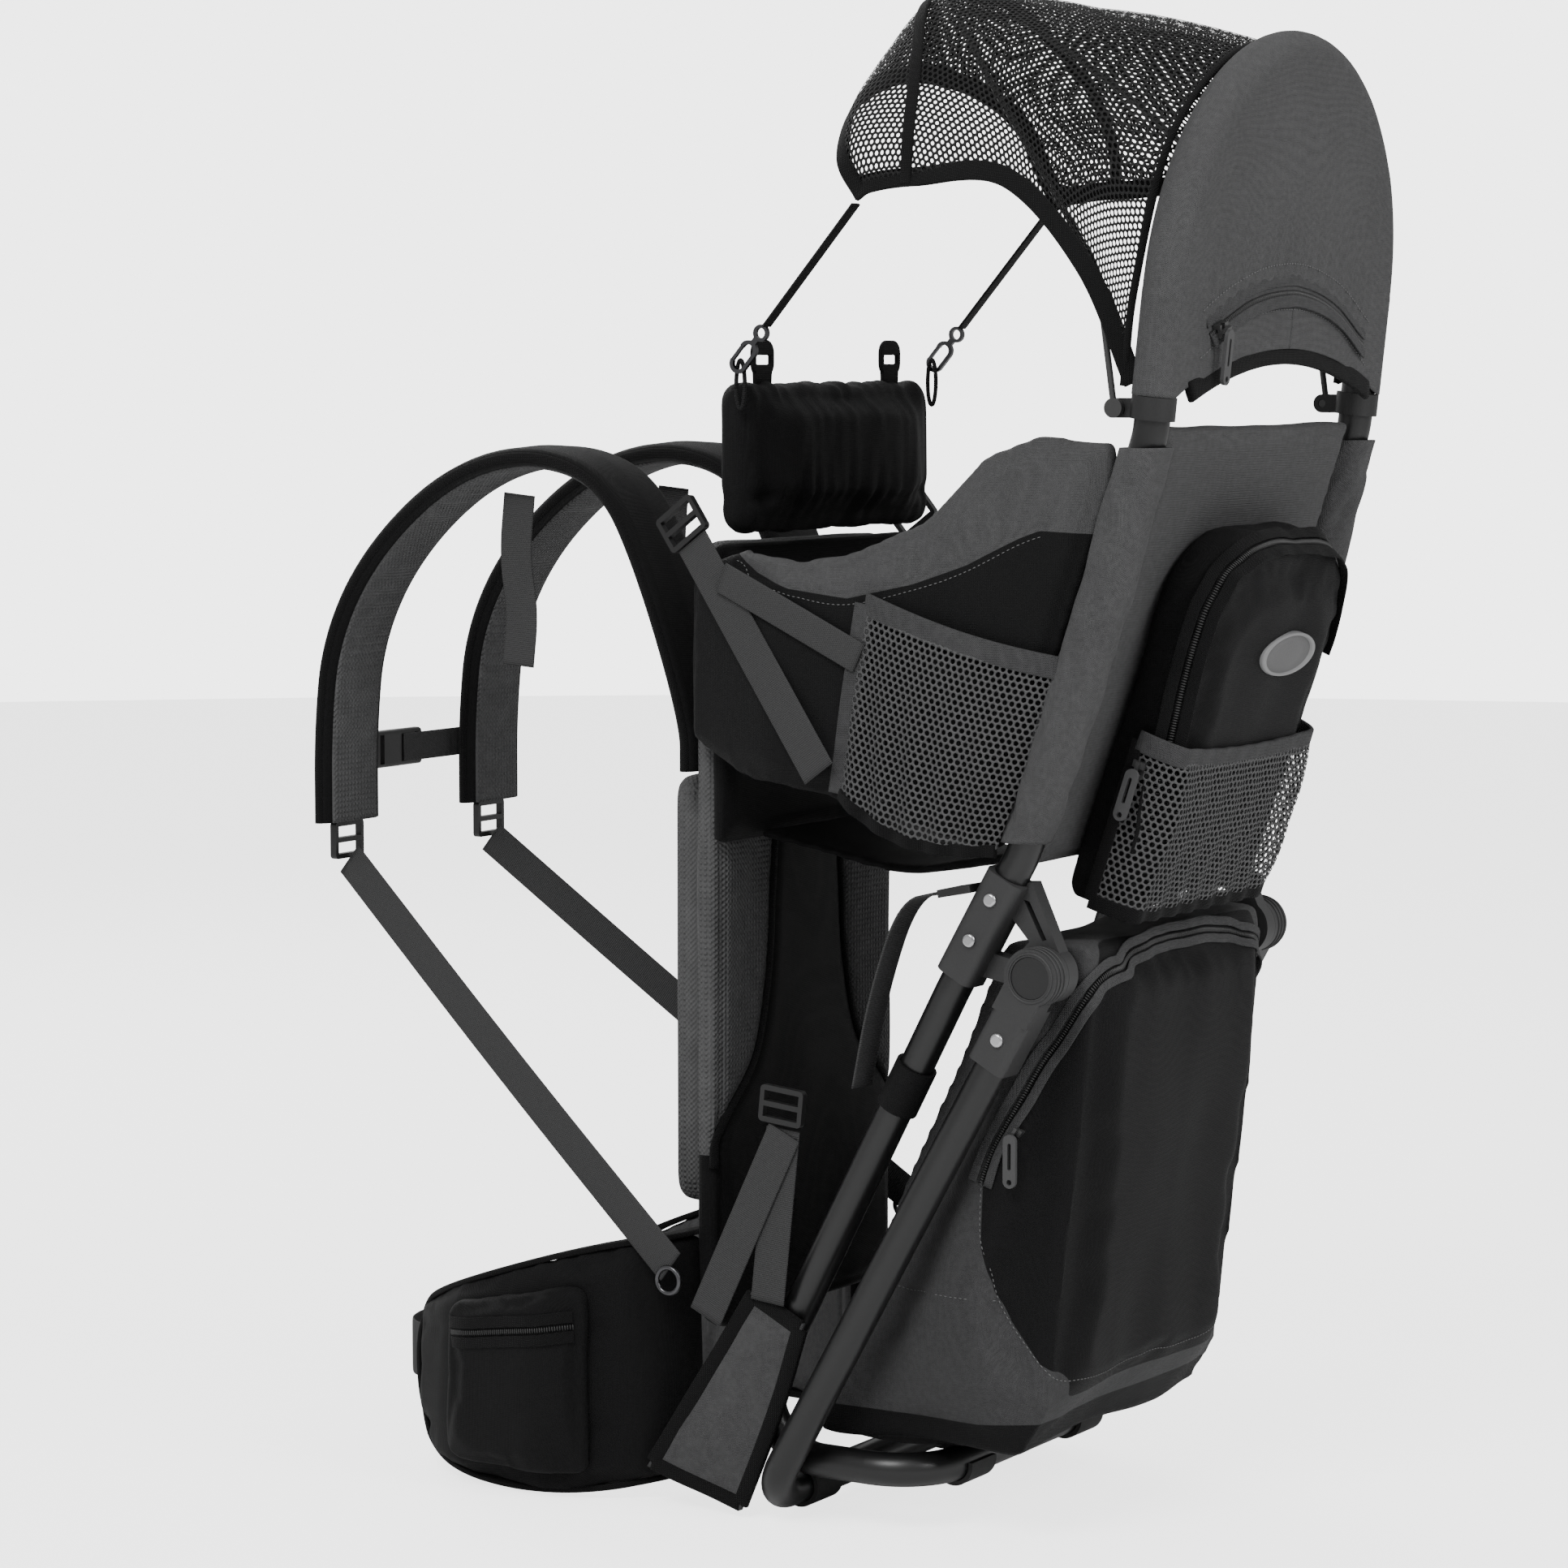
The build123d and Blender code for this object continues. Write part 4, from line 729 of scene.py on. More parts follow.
def tape(name, path, across, width, thickness, material, bulge=0.0, closed_ends=True):
    """Webbing, binding or piping: a flat section with rounded edges along a path."""
    path = np.array(path, float)
    across = np.broadcast_to(np.array(across, float), path.shape)
    run = unit(np.gradient(path, axis=0))
    side = unit(across - run * np.sum(across * run, axis=1, keepdims=True))
    up = np.cross(run, side)
    turn = np.linspace(0, 2 * math.pi, 16, endpoint=False)
    flatness = 0.25 if width > 2 * thickness else 1.0
    out = np.sign(np.cos(turn)) * np.abs(np.cos(turn)) ** flatness * width / 2
    high = np.sign(np.sin(turn)) * np.abs(np.sin(turn)) ** max(flatness, 0.5) * thickness / 2
    high = high * (1 + bulge * (1 - (2 * out / width) ** 2))
    count, ring_size = len(path), len(turn)
    points = (
        path[:, None] + side[:, None] * out[None, :, None] + up[:, None] * high[None, :, None]
    ).reshape(-1, 3)
    faces = []
    for i in range(count - 1):
        for j in range(ring_size):
            k = (j + 1) % ring_size
            faces.append(
                (i * ring_size + j, i * ring_size + k, (i + 1) * ring_size + k, (i + 1) * ring_size + j)
            )
    if closed_ends:
        faces.append(tuple(range(ring_size))[::-1])
        faces.append(tuple((count - 1) * ring_size + j for j in range(ring_size)))
    else:
        for j in range(ring_size):
            k = (j + 1) % ring_size
            faces.append(((count - 1) * ring_size + j, (count - 1) * ring_size + k, k, j))
    piece = outward(mesh_object(name, points, faces, material))
    travel = np.concatenate([[0], np.cumsum(np.linalg.norm(np.diff(path, axis=0), axis=1))])
    flat = np.stack([np.tile(out, count), np.repeat(travel, ring_size)], axis=1)
    uv = piece.data.uv_layers.new(name="tape")
    corner = np.zeros(len(piece.data.loops), np.int32)
    piece.data.loops.foreach_get("vertex_index", corner)
    uv.data.foreach_set("uv", flat[corner].astype(np.float32).ravel())
    return piece


def bind(name, path, across, width, thickness):
    """A black binding or piping sewn to the carrier."""
    return settle(tape(name, path, across, width, thickness, black_binding), "carrier")


def hood_point(px, z, w=bore + 0.003):
    return (px, hood_line(z) - w, z - w * hoop_slope)


def zipper(name, tree, line, body="carrier", side=None, tape_width=0.0075, tape_cloth=None):
    """Two cloth tapes and a coil of teeth between them, laid along a line on the cloth."""
    spots, normals = lay_on(tree, line, 0.0006, side)
    run = unit(np.gradient(spots, axis=0))
    over = np.cross(run, normals)
    for number, sign in enumerate((-1, 1)):
        half = spots + over * sign * (tape_width / 2 + 0.0028) + normals * 0.0004
        settle(
            tape(f"{name}_tape_{number}", half, over, tape_width, 0.0014, tape_cloth or grey_binding), body,
        )
    bead_row(f"{name}_coil", [spots], tree, tooth_size, coil_nylon, body, 0.0007, side)


hood_surface = surface(hood)
zip_line = flowing([hood_point(px, zip_arc(px)) for px in np.linspace(-0.112, 0.118, 9)])
zipper("hood_zip", hood_surface, zip_line, side=(0, -1, 0))
seam_rows = [
    flowing([hood_point(px, zip_arc(px) + gap) for px in np.linspace(-0.120, 0.122, 9)])
    for gap in (0.0145, -0.0135)
]
bead_row(
    "hood_pocket_stitches", seam_rows, hood_surface, stitch_size, thread, side=(0, -1, 0),
)

hem_line = flowing(
    [hood_point(px, hood_low - 0.0035 + hood_hem(px), bore + 0.0022) for px in np.linspace(-0.129, 0.129, 15)]
)
hem_band = tape("hood_hem_elastic", hem_line, (0, hoop_slope, 1), 0.013, 0.0042, black_binding, bulge=0.2)
settle(hem_band, "carrier", ["hood_band"])
middle_line = [
    hood_point(0, z, bore - 0.0002)
    for z in np.linspace(hood_low + hem_arc + 0.002, hood_low + leg_rise + 0.012, 60)
]
settle(tape("hood_middle_seam", middle_line, (1, 0, 0), 0.010, 0.0012, grey_cloth), "carrier")

# ---------------------------------------------------------------- sun canopy
# Black knitted net, one curved sheet from the hood's front edge over the spring wire bow to a
# short brim, bound all round with black tape.
net, net_in, net_out = shader_group(
    "knitted_net",
    [
        ("Vector", "NodeSocketVector", None), ("Pitch", "NodeSocketFloat", 0.0035),
        ("Opening", "NodeSocketFloat", 0.3),
    ],
    [("Thread", "NodeSocketFloat"), ("Height", "NodeSocketFloat")],
)
cells = net.nodes.new("ShaderNodeVectorMath")
cells.operation = "SCALE"
net.links.new(net_in.outputs["Vector"], cells.inputs[0])
net.links.new(calc(net, "DIVIDE", 1.0, net_in.outputs["Pitch"]), cells.inputs["Scale"])
cell_parts = net.nodes.new("ShaderNodeSeparateXYZ")
net.links.new(cells.outputs["Vector"], cell_parts.inputs["Vector"])


def cell_distance(shift):
    """Distance to the middle of the nearest hole in one of the two staggered rows."""
    u = calc(net, "FRACT", calc(net, "ADD", cell_parts.outputs["X"], shift))
    v = calc(net, "FRACT", calc(net, "MULTIPLY_ADD", cell_parts.outputs["Y"], 1 / 1.732, shift))
    u = calc(net, "SUBTRACT", u, 0.5)
    v = calc(net, "MULTIPLY", calc(net, "SUBTRACT", v, 0.5), 1.732)
    return calc(net, "SQRT", calc(net, "ADD", calc(net, "MULTIPLY", u, u), calc(net, "MULTIPLY", v, v)))


nearest_hole = calc(net, "MINIMUM", cell_distance(0.0), cell_distance(0.5))
from_edge = calc(net, "SUBTRACT", nearest_hole, net_in.outputs["Opening"])
strand = calc(net, "MINIMUM", calc(net, "MAXIMUM", calc(net, "MULTIPLY_ADD", from_edge, 14.0, 0.5), 0.0), 1.0)
net.links.new(strand, net_out.inputs["Thread"])
net.links.new(
    calc(net, "MINIMUM", calc(net, "MAXIMUM", calc(net, "MULTIPLY", from_edge, 4.0), 0.0), 1.0),
    net_out.inputs["Height"],
)


def net_material(name, colour, pitch, opening, uv_map="cloth"):
    """Open net: the holes are cut out of the sheet by its alpha."""
    material, tree, shader = new_material(name)
    where = tree.nodes.new("ShaderNodeUVMap")
    where.uv_map = uv_map
    group = place_group(tree, net, Pitch=pitch, Opening=opening)
    tree.links.new(where.outputs["UV"], group.inputs["Vector"])
    place = tree.nodes.new("ShaderNodeTexCoord")
    fibre = place_group(tree, weave, Threads=1300.0, Slub=0.6)
    tree.links.new(place.outputs["Object"], fibre.inputs["Vector"])
    tree.links.new(tint(tree, colour, fibre.outputs["Shade"]), shader.inputs["Base Color"])
    tree.links.new(calc(tree, "ADD", fibre.outputs["Roughness shift"], 0.7), shader.inputs["Roughness"])
    tree.links.new(group.outputs["Thread"], shader.inputs["Alpha"])
    add_bump(tree, shader, group.outputs["Height"], 0.0006)
    shader.inputs["Specular IOR Level"].default_value = 0.3
    return material


canopy_net = net_material("black_canopy_net", (0.006, 0.006, 0.0061), 0.0044, 0.33)
canopy_left = [
    [
        (-0.1525, -0.3475, 0.362), (-0.1525, -0.3544, 0.4205), (-0.1250, -0.3630, 0.5080),
        (-0.0645, -0.3688, 0.5587), (0, -0.3702, 0.5730),
    ],
    [
        (-0.1600, -0.3180, 0.432), (-0.1560, -0.3180, 0.478), (-0.1340, -0.3120, 0.532),
        (-0.0760, -0.3030, 0.580), (0, -0.2960, 0.593),
    ],
    [
        (-0.1530, -0.2620, 0.484), (-0.1460, -0.2600, 0.518), (-0.1180, -0.2500, 0.560),
        (-0.0690, -0.2380, 0.594), (0, -0.2300, 0.603),
    ],
    [
        (-0.1420, -0.1950, 0.486), (-0.1360, -0.1950, 0.522), (-0.1080, -0.1850, 0.566),
        (-0.0610, -0.1660, 0.606), (0, -0.1600, 0.612),
    ],
    [
        (-0.1360, -0.1600, 0.483), (-0.1370, -0.1500, 0.515), (-0.1120, -0.1420, 0.550),
        (-0.0600, -0.1360, 0.578), (0, -0.1320, 0.586),
    ],
    [
        (-0.1300, -0.1460, 0.478), (-0.1310, -0.1330, 0.502), (-0.1080, -0.1280, 0.532),
        (-0.0600, -0.1240, 0.551), (0, -0.1190, 0.558),
    ],
]
canopy_control = [row + [(-px, py, pz) for px, py, pz in reversed(row[:-1])] for row in canopy_left]
canopy_grid = smooth_grid(canopy_control, 96, 150)
sag = ruffle(canopy_grid.reshape(-1, 3), np.array([1.0, 0.35, 1.0]), 0.05, 7.0).reshape(96, 150)
inside = np.sin(np.linspace(0, math.pi, 96))[:, None] * np.sin(np.linspace(0, math.pi, 150))[None, :] ** 0.3
canopy_grid += grid_normals(canopy_grid) * (sag * inside * 0.004)[..., None]
canopy = sheet_piece("canopy_net_sheet", canopy_grid, 0.0009, canopy_net)
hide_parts("canopy_mesh")
edge_faces = grid_normals(canopy_grid)
rim_loops = {
    "canopy_side_binding_left": (canopy_grid[:, 0], edge_faces[:, 0]),
    "canopy_side_binding_right": (canopy_grid[:, -1], edge_faces[:, -1]),
    "canopy_brim_binding": (canopy_grid[-1], edge_faces[-1]),
    "canopy_hood_seam": (canopy_grid[0], edge_faces[0]),
}
canopy_pieces = [canopy]
for name, (line, facing) in rim_loops.items():
    run = unit(np.gradient(line, axis=0))
    inward = np.cross(facing, run)
    middle = canopy_grid.reshape(-1, 3).mean(axis=0)
    inward *= np.sign(np.sum(inward * (middle - line), axis=1).mean())
    width = 0.005 if name == "canopy_hood_seam" else 0.0125
    binding = tape(name, line + inward * width * 0.4, inward, width, 0.0034, black_binding)
    canopy_pieces.append(binding)
channel_row = canopy_grid[60]
channel = tape(
    "canopy_bow_channel", channel_row - edge_faces[60] * 0.0012, np.gradient(canopy_grid, axis=0)[60], 0.008,
    0.0024, black_binding,
)
canopy_pieces.append(channel)
for piece in canopy_pieces:
    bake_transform(piece)

# ---------------------------------------------------------------- seat back and frame sleeves
# The seat's padded back of grey polyester is stretched between two long sleeves of the same
# cloth, which are pushed over the frame tubes and hang a little loose round them.
def cad_copy(name, node):
    """The merged mesh of a CAD node's solids as a new object, ready to be given a cloth shape."""
    mesh = nodes[node].data.copy()
    mesh.name = name
    piece = bpy.data.objects.new(name, mesh)
    scene.collection.objects.link(piece)
    mesh.materials.clear()
    work = bmesh.new()
    work.from_mesh(mesh)
    bmesh.ops.remove_doubles(work, verts=work.verts, dist=1e-6)
    work.to_mesh(mesh)
    work.free()
    return piece


def bake_modifiers(piece):
    """Replaces a piece's mesh by what its modifiers make of it."""
    bpy.context.view_layer.update()
    made = bpy.data.meshes.new_from_object(piece.evaluated_get(bpy.context.evaluated_depsgraph_get()))
    piece.modifiers.clear()
    piece.data = made
    made.polygons.foreach_set("use_smooth", [True] * len(made.polygons))


def swell(name, node, material, voxel=0.005, shrink=0.003, cap=0.006, pressure=4.0, smooth=4):
    """A stuffed piece: the CAD solid made a little smaller, then blown up as cloth."""
    piece = cad_copy(name, node)
    remesh = piece.modifiers.new("even", "REMESH")
    remesh.mode = "VOXEL"
    remesh.voxel_size = voxel
    relax = piece.modifiers.new("relax", "SMOOTH")
    relax.factor = 0.5
    relax.iterations = smooth
    bake_modifiers(piece)
    start = points_of(piece) - normals_of(piece) * shrink
    move_points(piece, start)
    if pressure:
        cloth = piece.modifiers.new("cloth", "CLOTH")
        cloth.settings.quality = 4
        cloth.settings.mass = 0.3
        cloth.settings.tension_stiffness = 12
        cloth.settings.compression_stiffness = 12
        cloth.settings.shear_stiffness = 4
        cloth.settings.bending_stiffness = 0.4
        cloth.settings.use_pressure = True
        cloth.settings.uniform_pressure_force = pressure
        cloth.settings.effector_weights.gravity = 0
        cloth.collision_settings.use_collision = False
        cloth.point_cache.frame_start = 1
        cloth.point_cache.frame_end = 20
        for step in range(1, 21):
            scene.frame_set(step)
        blown = piece.evaluated_get(bpy.context.evaluated_depsgraph_get()).to_mesh()
        end = np.zeros(len(start) * 3, np.float32)
        blown.vertices.foreach_get("co", end)
        piece.modifiers.clear()
        scene.frame_set(1)
        facing = normals_of(piece)
        step = end.reshape(-1, 3) - start
        rise = np.sum(step * facing, axis=1, keepdims=True)
        slip = step - facing * rise
        slip *= np.minimum(1, 0.003 / np.maximum(np.linalg.norm(slip, axis=1, keepdims=True), 1e-9))
        move_points(piece, start + facing * np.clip(rise, 0.0008, cap) + slip)
    else:
        move_points(piece, start + normals_of(piece) * (shrink * 0.8))
    finer = piece.modifiers.new("finer", "SUBSURF")
    finer.levels = finer.render_levels = 1
    bake_modifiers(piece)
    piece.data.materials.clear()
    piece.data.materials.append(material)
    return piece


def sew(piece, lines, width=0.004, depth=0.0015):
    """Sinks a seam into a piece along each line."""
    co, no = points_of(piece), normals_of(piece)
    gap = np.full(len(co), 1.0)
    for line in lines:
        line = np.asarray(line, float)
        near = np.all((co > line.min(axis=0) - 0.02) & (co < line.max(axis=0) + 0.02), axis=1)
        spots = np.where(near)[0]
        for part in np.array_split(spots, max(1, len(spots) // 4000)):
            if len(part):
                d = np.linalg.norm(co[part][:, None] - line[None], axis=2).min(axis=1)
                gap[part] = np.minimum(gap[part], d)
    move_points(piece, co - no * (depth * np.exp(-(gap / width) ** 2))[:, None])
    return piece


def crumple(piece, stretch_by, size, depth, seed=0.0, mask=None):
    """Soft creases, by noise stretched along the axes."""
    co, no = points_of(piece), normals_of(piece)
    amount = ruffle(co, np.array(stretch_by, float), size, seed)
    if mask is not None:
        amount = amount * mask(co)
    move_points(piece, co + no * (amount * depth)[:, None])
    return piece


def mark_tone(piece, distance):
    """Keeps, at each point, how far it is inside the second colour."""
    tone = piece.data.attributes.new("tone", "FLOAT", "POINT")
    tone.data.foreach_set("value", distance(points_of(piece)).astype(np.float32))


def mirror_piece(piece, name):
    """The same piece for the other side of the carrier."""
    mesh = piece.data.copy()
    mesh.name = name
    twin = bpy.data.objects.new(name, mesh)
    scene.collection.objects.link(twin)
    move_points(twin, points_of(piece) * np.array([-1, 1, 1]))
    mesh.flip_normals()
    return twin


seat_back = swell(
    "seat_back_cloth", "seat_back", grey_cloth, voxel=0.0045, shrink=0.001, cap=0.004, pressure=3.0,
)
crumple(seat_back, (1, 1, 0.4), 0.05, 0.0014, 5.0)
stuffed(seat_back, ["seat_back"])

sleeve_rings = []
sleeve_low, sleeve_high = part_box("tube_sleeves")[0].z + 0.002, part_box("tube_sleeves")[1].z - 0.002
for z in np.linspace(sleeve_low, sleeve_high, 120):
    share = (z - sleeve_low) / (sleeve_high - sleeve_low)
    ring = []
    for turn in np.linspace(0, 2 * math.pi, 49):
        fold = noise.noise(Vector((math.cos(turn) * 1.2, math.sin(turn) * 1.2, z * 46 + turn * 0.8)))
        reach = 0.0148 + 0.0024 * fold + 0.0012 * share
        flap = 0.007 * max(
            0.0, math.cos(turn - math.radians(252)),
        ) ** 6 * math.sin(math.pi * min(1, share * 1.1)) ** 0.5
        reach += flap
        ring.append((-tube_x + reach * math.cos(turn), seat_line(z) + reach * math.sin(turn), z))
    sleeve_rings.append(ring)
sleeve_left = sheet_piece("frame_sleeve_left", np.array(sleeve_rings), 0.001, grey_cloth)
sleeve_right = mirror_piece(sleeve_left, "frame_sleeve_right")
for piece in (sleeve_left, sleeve_right):
    settle(piece, "carrier", ["tube_sleeves"])
collars = cad_copy("frame_collars", "tube_collars")
collars.data.materials.append(black_cloth)
settle(collars, "carrier", ["tube_collars"])

# ---------------------------------------------------------------- seat side wings
# Padded side panels, sewn in two colours: a grey band along the top edge over a black body,
# joined by a topstitched seam. They wrap forward behind the wearer's back.
wing_cloth = cloth_material("wing_grey_over_black", black, threads=1000.0, rough=0.7, second=grey)
band_y = np.array([-0.345, -0.290, -0.276, -0.240, -0.201, -0.154, -0.110, -0.085, -0.062, -0.02])
band_z = np.array([0.272, 0.274, 0.269, 0.252, 0.239, 0.229, 0.234, 0.243, 0.257, 0.300])
wing_x = -tube_x - 0.0065


def wing_band(co):
    return co[:, 2] - np.interp(co[:, 1], band_y, band_z)


seam_line = flowing([(wing_x, py, pz) for py, pz in zip(band_y[1:-1], band_z[1:-1])], 0.002)
wings = {}
for side_name, flip in sides:
    wing = swell(
        f"seat_wing_{side_name}_pad", f"seat_wing_{side_name}", wing_cloth, voxel=0.0046, shrink=0.0015,
        cap=0.0045,
    )
    line = seam_line * np.array([flip, 1, 1])
    sew(wing, [line], width=0.003, depth=0.0018)
    crumple(wing, (1, 1, 1), 0.045, 0.0012, 11.0 + flip)
    mark_tone(wing, wing_band)
    stuffed(wing, [f"seat_wing_{side_name}"])
    wing_surface = surface(wing)
    stitch_line = line - np.array([0, 0, 0.003])
    outer_side = (-flip, 0, 0)
    bead_row(
        f"wing_{side_name}_stitches", [stitch_line], wing_surface, stitch_size, thread,
        side=outer_side,
    )
    wings[flip] = wing_surface

# ---------------------------------------------------------------- net side pockets
# Open grey net, gathered at its foot and bound in grey tape at the mouth and front edge. Each
# one bulges from the outside of a side wing.
pocket_net = net_material("grey_pocket_net", (0.075, 0.075, 0.076), 0.0046, 0.36)
pocket_rows = []
for t in np.linspace(0, 1, 60):
    front = np.array([-0.169, 0.226]) * (1 - t) + np.array([-0.149, 0.106]) * t
    rear = np.array([-0.309, 0.190]) * (1 - t) + np.array([-0.262, 0.076]) * t
    row = []
    for s in np.linspace(0, 1, 70):
        py, pz = front * (1 - s) + rear * s
        pz -= 0.016 * math.sin(math.pi * s) * t * (1 - 0.4 * s)
        pz -= 0.004 * math.sin(math.pi * s) * (1 - t)
        bulge = 0.0095 * (
            math.sin(math.pi * min(1, s * 1.02)) ** 0.6
        ) * (0.55 + 0.45 * math.sin(math.pi * t) ** 0.7)
        pleat = 0.0016 * math.sin(s * 34 + 1.5 * math.sin(t * 5)) * t
        row.append((wing_x - 0.0035 - bulge - pleat * 0.8, py, pz))
    pocket_rows.append(row)
pocket_grid = np.array(pocket_rows)
for side_name, flip in sides:
    grid = pocket_grid * np.array([flip, 1, 1])
    pocket = sheet_piece(f"side_pocket_net_{side_name}", grid, 0.0009, pocket_net)
    settle(pocket, "carrier", ["side_pockets"])
    settle(
        tape(f"side_pocket_mouth_{side_name}", grid[0], (0, 0.25, 1), 0.0145, 0.003, grey_binding), "carrier",
    )
    settle(
        tape(
            f"side_pocket_front_{side_name}", grid[:, 0] + np.array([0, 0.001, 0]), (0, 1, 0.15), 0.0145,
            0.003, grey_binding,
        ),
        "carrier",
    )
    bind(f"side_pocket_foot_{side_name}", grid[-1], (0, 0, 1), 0.008, 0.003)

# ---------------------------------------------------------------- seat front, pad and sling
# A thick black bolster stands in front of the child, above a padded front panel. Its cover is
# puckered along a sewn crease near the foot and along the top seam. The sling is the seat base.
front_pad = swell(
    "front_bolster", "front_pad", black_cloth, voxel=0.0055, shrink=0.004, cap=0.013, pressure=7.0, smooth=5,
)
crease_z = 0.289


def pucker(co):
    up = np.exp(-np.abs(co[:, 2] - crease_z) / 0.028) + np.exp(-np.abs(co[:, 2] - 0.362) / 0.02)
    return np.clip(up, 0, 1)


crumple(front_pad, (1, 0.5, 0.18), 0.0105, 0.0034, 1.0, pucker)
sew(
    front_pad,
    [flowing([(px, py, crease_z) for px in np.linspace(-0.12, 0.12, 9)], 0.004) for py in (-0.030, -0.062)],
    0.005, 0.004,
)
stuffed(front_pad, ["front_pad"])
front_panel = swell(
    "front_panel_pad", "front_panel", black_cloth, voxel=0.0055, shrink=0.001, cap=0.004, pressure=3.0,
)
stuffed(front_panel, ["front_panel"])
sling = swell(
    "seat_sling_pad", "seat_sling", black_cloth, voxel=0.003, shrink=0.0004, cap=0.003, pressure=0, smooth=2,
)
crumple(sling, (0.6, 1, 1), 0.03, 0.001, 2.0)
stuffed(sling, ["seat_sling"])

# ---------------------------------------------------------------- removable daypack
# A small black nylon pack zipped to the seat back. Its own zip runs up the left side and over
# the top, the cloth puckers beside it, and a grey bound net pocket covers the lower half.
daypack = swell("daypack_shell", "daypack", black_cloth, voxel=0.006, shrink=0.005, cap=0.010, pressure=4.0)
pack_zip = [
    (-0.096, -0.338, 0.070), (-0.096, -0.343, 0.110), (-0.096, -0.352, 0.150), (-0.095, -0.361, 0.190),
    (-0.088, -0.371, 0.226), (-0.072, -0.380, 0.250), (-0.045, -0.386, 0.262), (0, -0.388, 0.266),
    (0.045, -0.386, 0.262), (0.072, -0.380, 0.250), (0.088, -0.371, 0.226), (0.095, -0.361, 0.190),
]
pack_zip = flowing(pack_zip, 0.003)


def near_line(line, reach):
    def mask(co):
        gap = np.full(len(co), 1.0)
        for point in line[::2]:
            gap = np.minimum(gap, np.linalg.norm(co - point, axis=1))
        return np.exp(-(gap / reach) ** 2)
    return mask


crumple(daypack, (1, 1, 1), 0.013, 0.0022, 4.0, near_line(pack_zip, 0.024))
crumple(daypack, (1, 1, 0.5), 0.055, 0.004, 9.0)
stuffed(daypack, ["daypack"])
pack_surface = surface(daypack)
zipper("daypack_zip", pack_surface, pack_zip, tape_cloth=black_binding)

pack_up = np.array([0, -seat_slope, 1]) / math.hypot(1, seat_slope)
pack_out = np.array([0, -1, -seat_slope]) / math.hypot(1, seat_slope)
pack_foot = np.array([0, seat_line(0.046), 0.046]) + pack_out * 0.0043
net_rows = []
for t in np.linspace(0, 1, 56):
    row = []
    for s in np.linspace(-1, 1, 96):
        reach = 0.098 + 0.002
        round_off = max(0.0, abs(s) - 0.80) / 0.20
        px = math.copysign(
            min(abs(s) / 0.80, 1.0) * (reach - 0.012) + 0.012 * math.sin(round_off * math.pi / 2), s,
        )
        depth = 0.056 - 0.030 * (
            1 - math.cos(round_off * math.pi / 2)
        ) + 0.005 * math.sin(math.pi * t) ** 0.6 * (1 - round_off)
        depth += 0.0012 * math.sin(px * 260 + 2 * math.sin(t * 6)) * (1 - round_off) * (0.35 + 0.65 * (1 - t))
        rise = (0.006 + t * 0.107) - 0.006 * (1 - s * s) * t
        row.append(pack_foot + pack_up * rise + pack_out * depth + np.array([px, 0, 0]))
    net_rows.append(row)
net_grid = np.array(net_rows)
pack_net = sheet_piece("daypack_net_pocket", net_grid, 0.0009, pocket_net)
settle(pack_net, "carrier", ["daypack_pocket"])
settle(
    tape("daypack_pocket_hem", net_grid[-1], pack_up, 0.0135, 0.0032, grey_binding), "carrier",
)
bind("daypack_pocket_foot", net_grid[0], pack_up, 0.010, 0.0032)
for side_name, column in (("left", 0), ("right", -1)):
    bind(f"daypack_pocket_edge_{side_name}", net_grid[:, column], pack_out, 0.008, 0.003)

# The badge is blank: an oval of soft rubber with a raised rim.
badge_rim = hard_material("light_grey_badge_rubber", (0.22, 0.22, 0.222), 0.55, 900.0, 0.0001)
badge_face = hard_material("mid_grey_badge_rubber", (0.10, 0.10, 0.101), 0.6, 700.0, 0.0002)
badge_middle = (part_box("daypack_patch")[0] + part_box("daypack_patch")[1]) / 2
spot = pack_surface.find_nearest(badge_middle + Vector(pack_out) * 0.02)[0]
badge_run = np.array([1.0, 0, 0])
badge_up = np.cross(pack_out, badge_run)
badge_rings = []
for share, high in (
    (1.0, -0.006), (1.0, 0.0016), (0.97, 0.0026), (0.90, 0.0028), (0.85, 0.0024), (0.84, 0.0012),
    (0.5, 0.0014), (0.02, 0.0016),
):
    half_length, half_height = 0.038 * share, 0.0145 * share ** 0.8
    ring = [
        np.array(spot) + badge_run * half_length * math.cos(a) + badge_up * half_height * math.sin(a)
        + pack_out * (high + 0.001)
        for a in np.linspace(0, 2 * math.pi, 64, endpoint=False)
    ]
    badge_rings.append(ring)
badge_points = [p for ring in badge_rings for p in ring]
badge_faces = [(i * 64 + j, i * 64 + (j + 1) % 64, (i + 1) * 64 + (j + 1) % 64, (i + 1) * 64 + j)
               for i in range(len(badge_rings) - 1) for j in range(64)]
badge_faces += [tuple(range(64))[::-1], tuple((len(badge_rings) - 1) * 64 + j for j in range(64))]
badge = outward(mesh_object("oval_badge", badge_points, badge_faces, badge_rim))
badge.data.materials.append(badge_face)
for polygon in badge.data.polygons:
    polygon.material_index = int(min(polygon.vertices) >= 5 * 64)
settle(badge, "carrier", ["daypack_patch"])

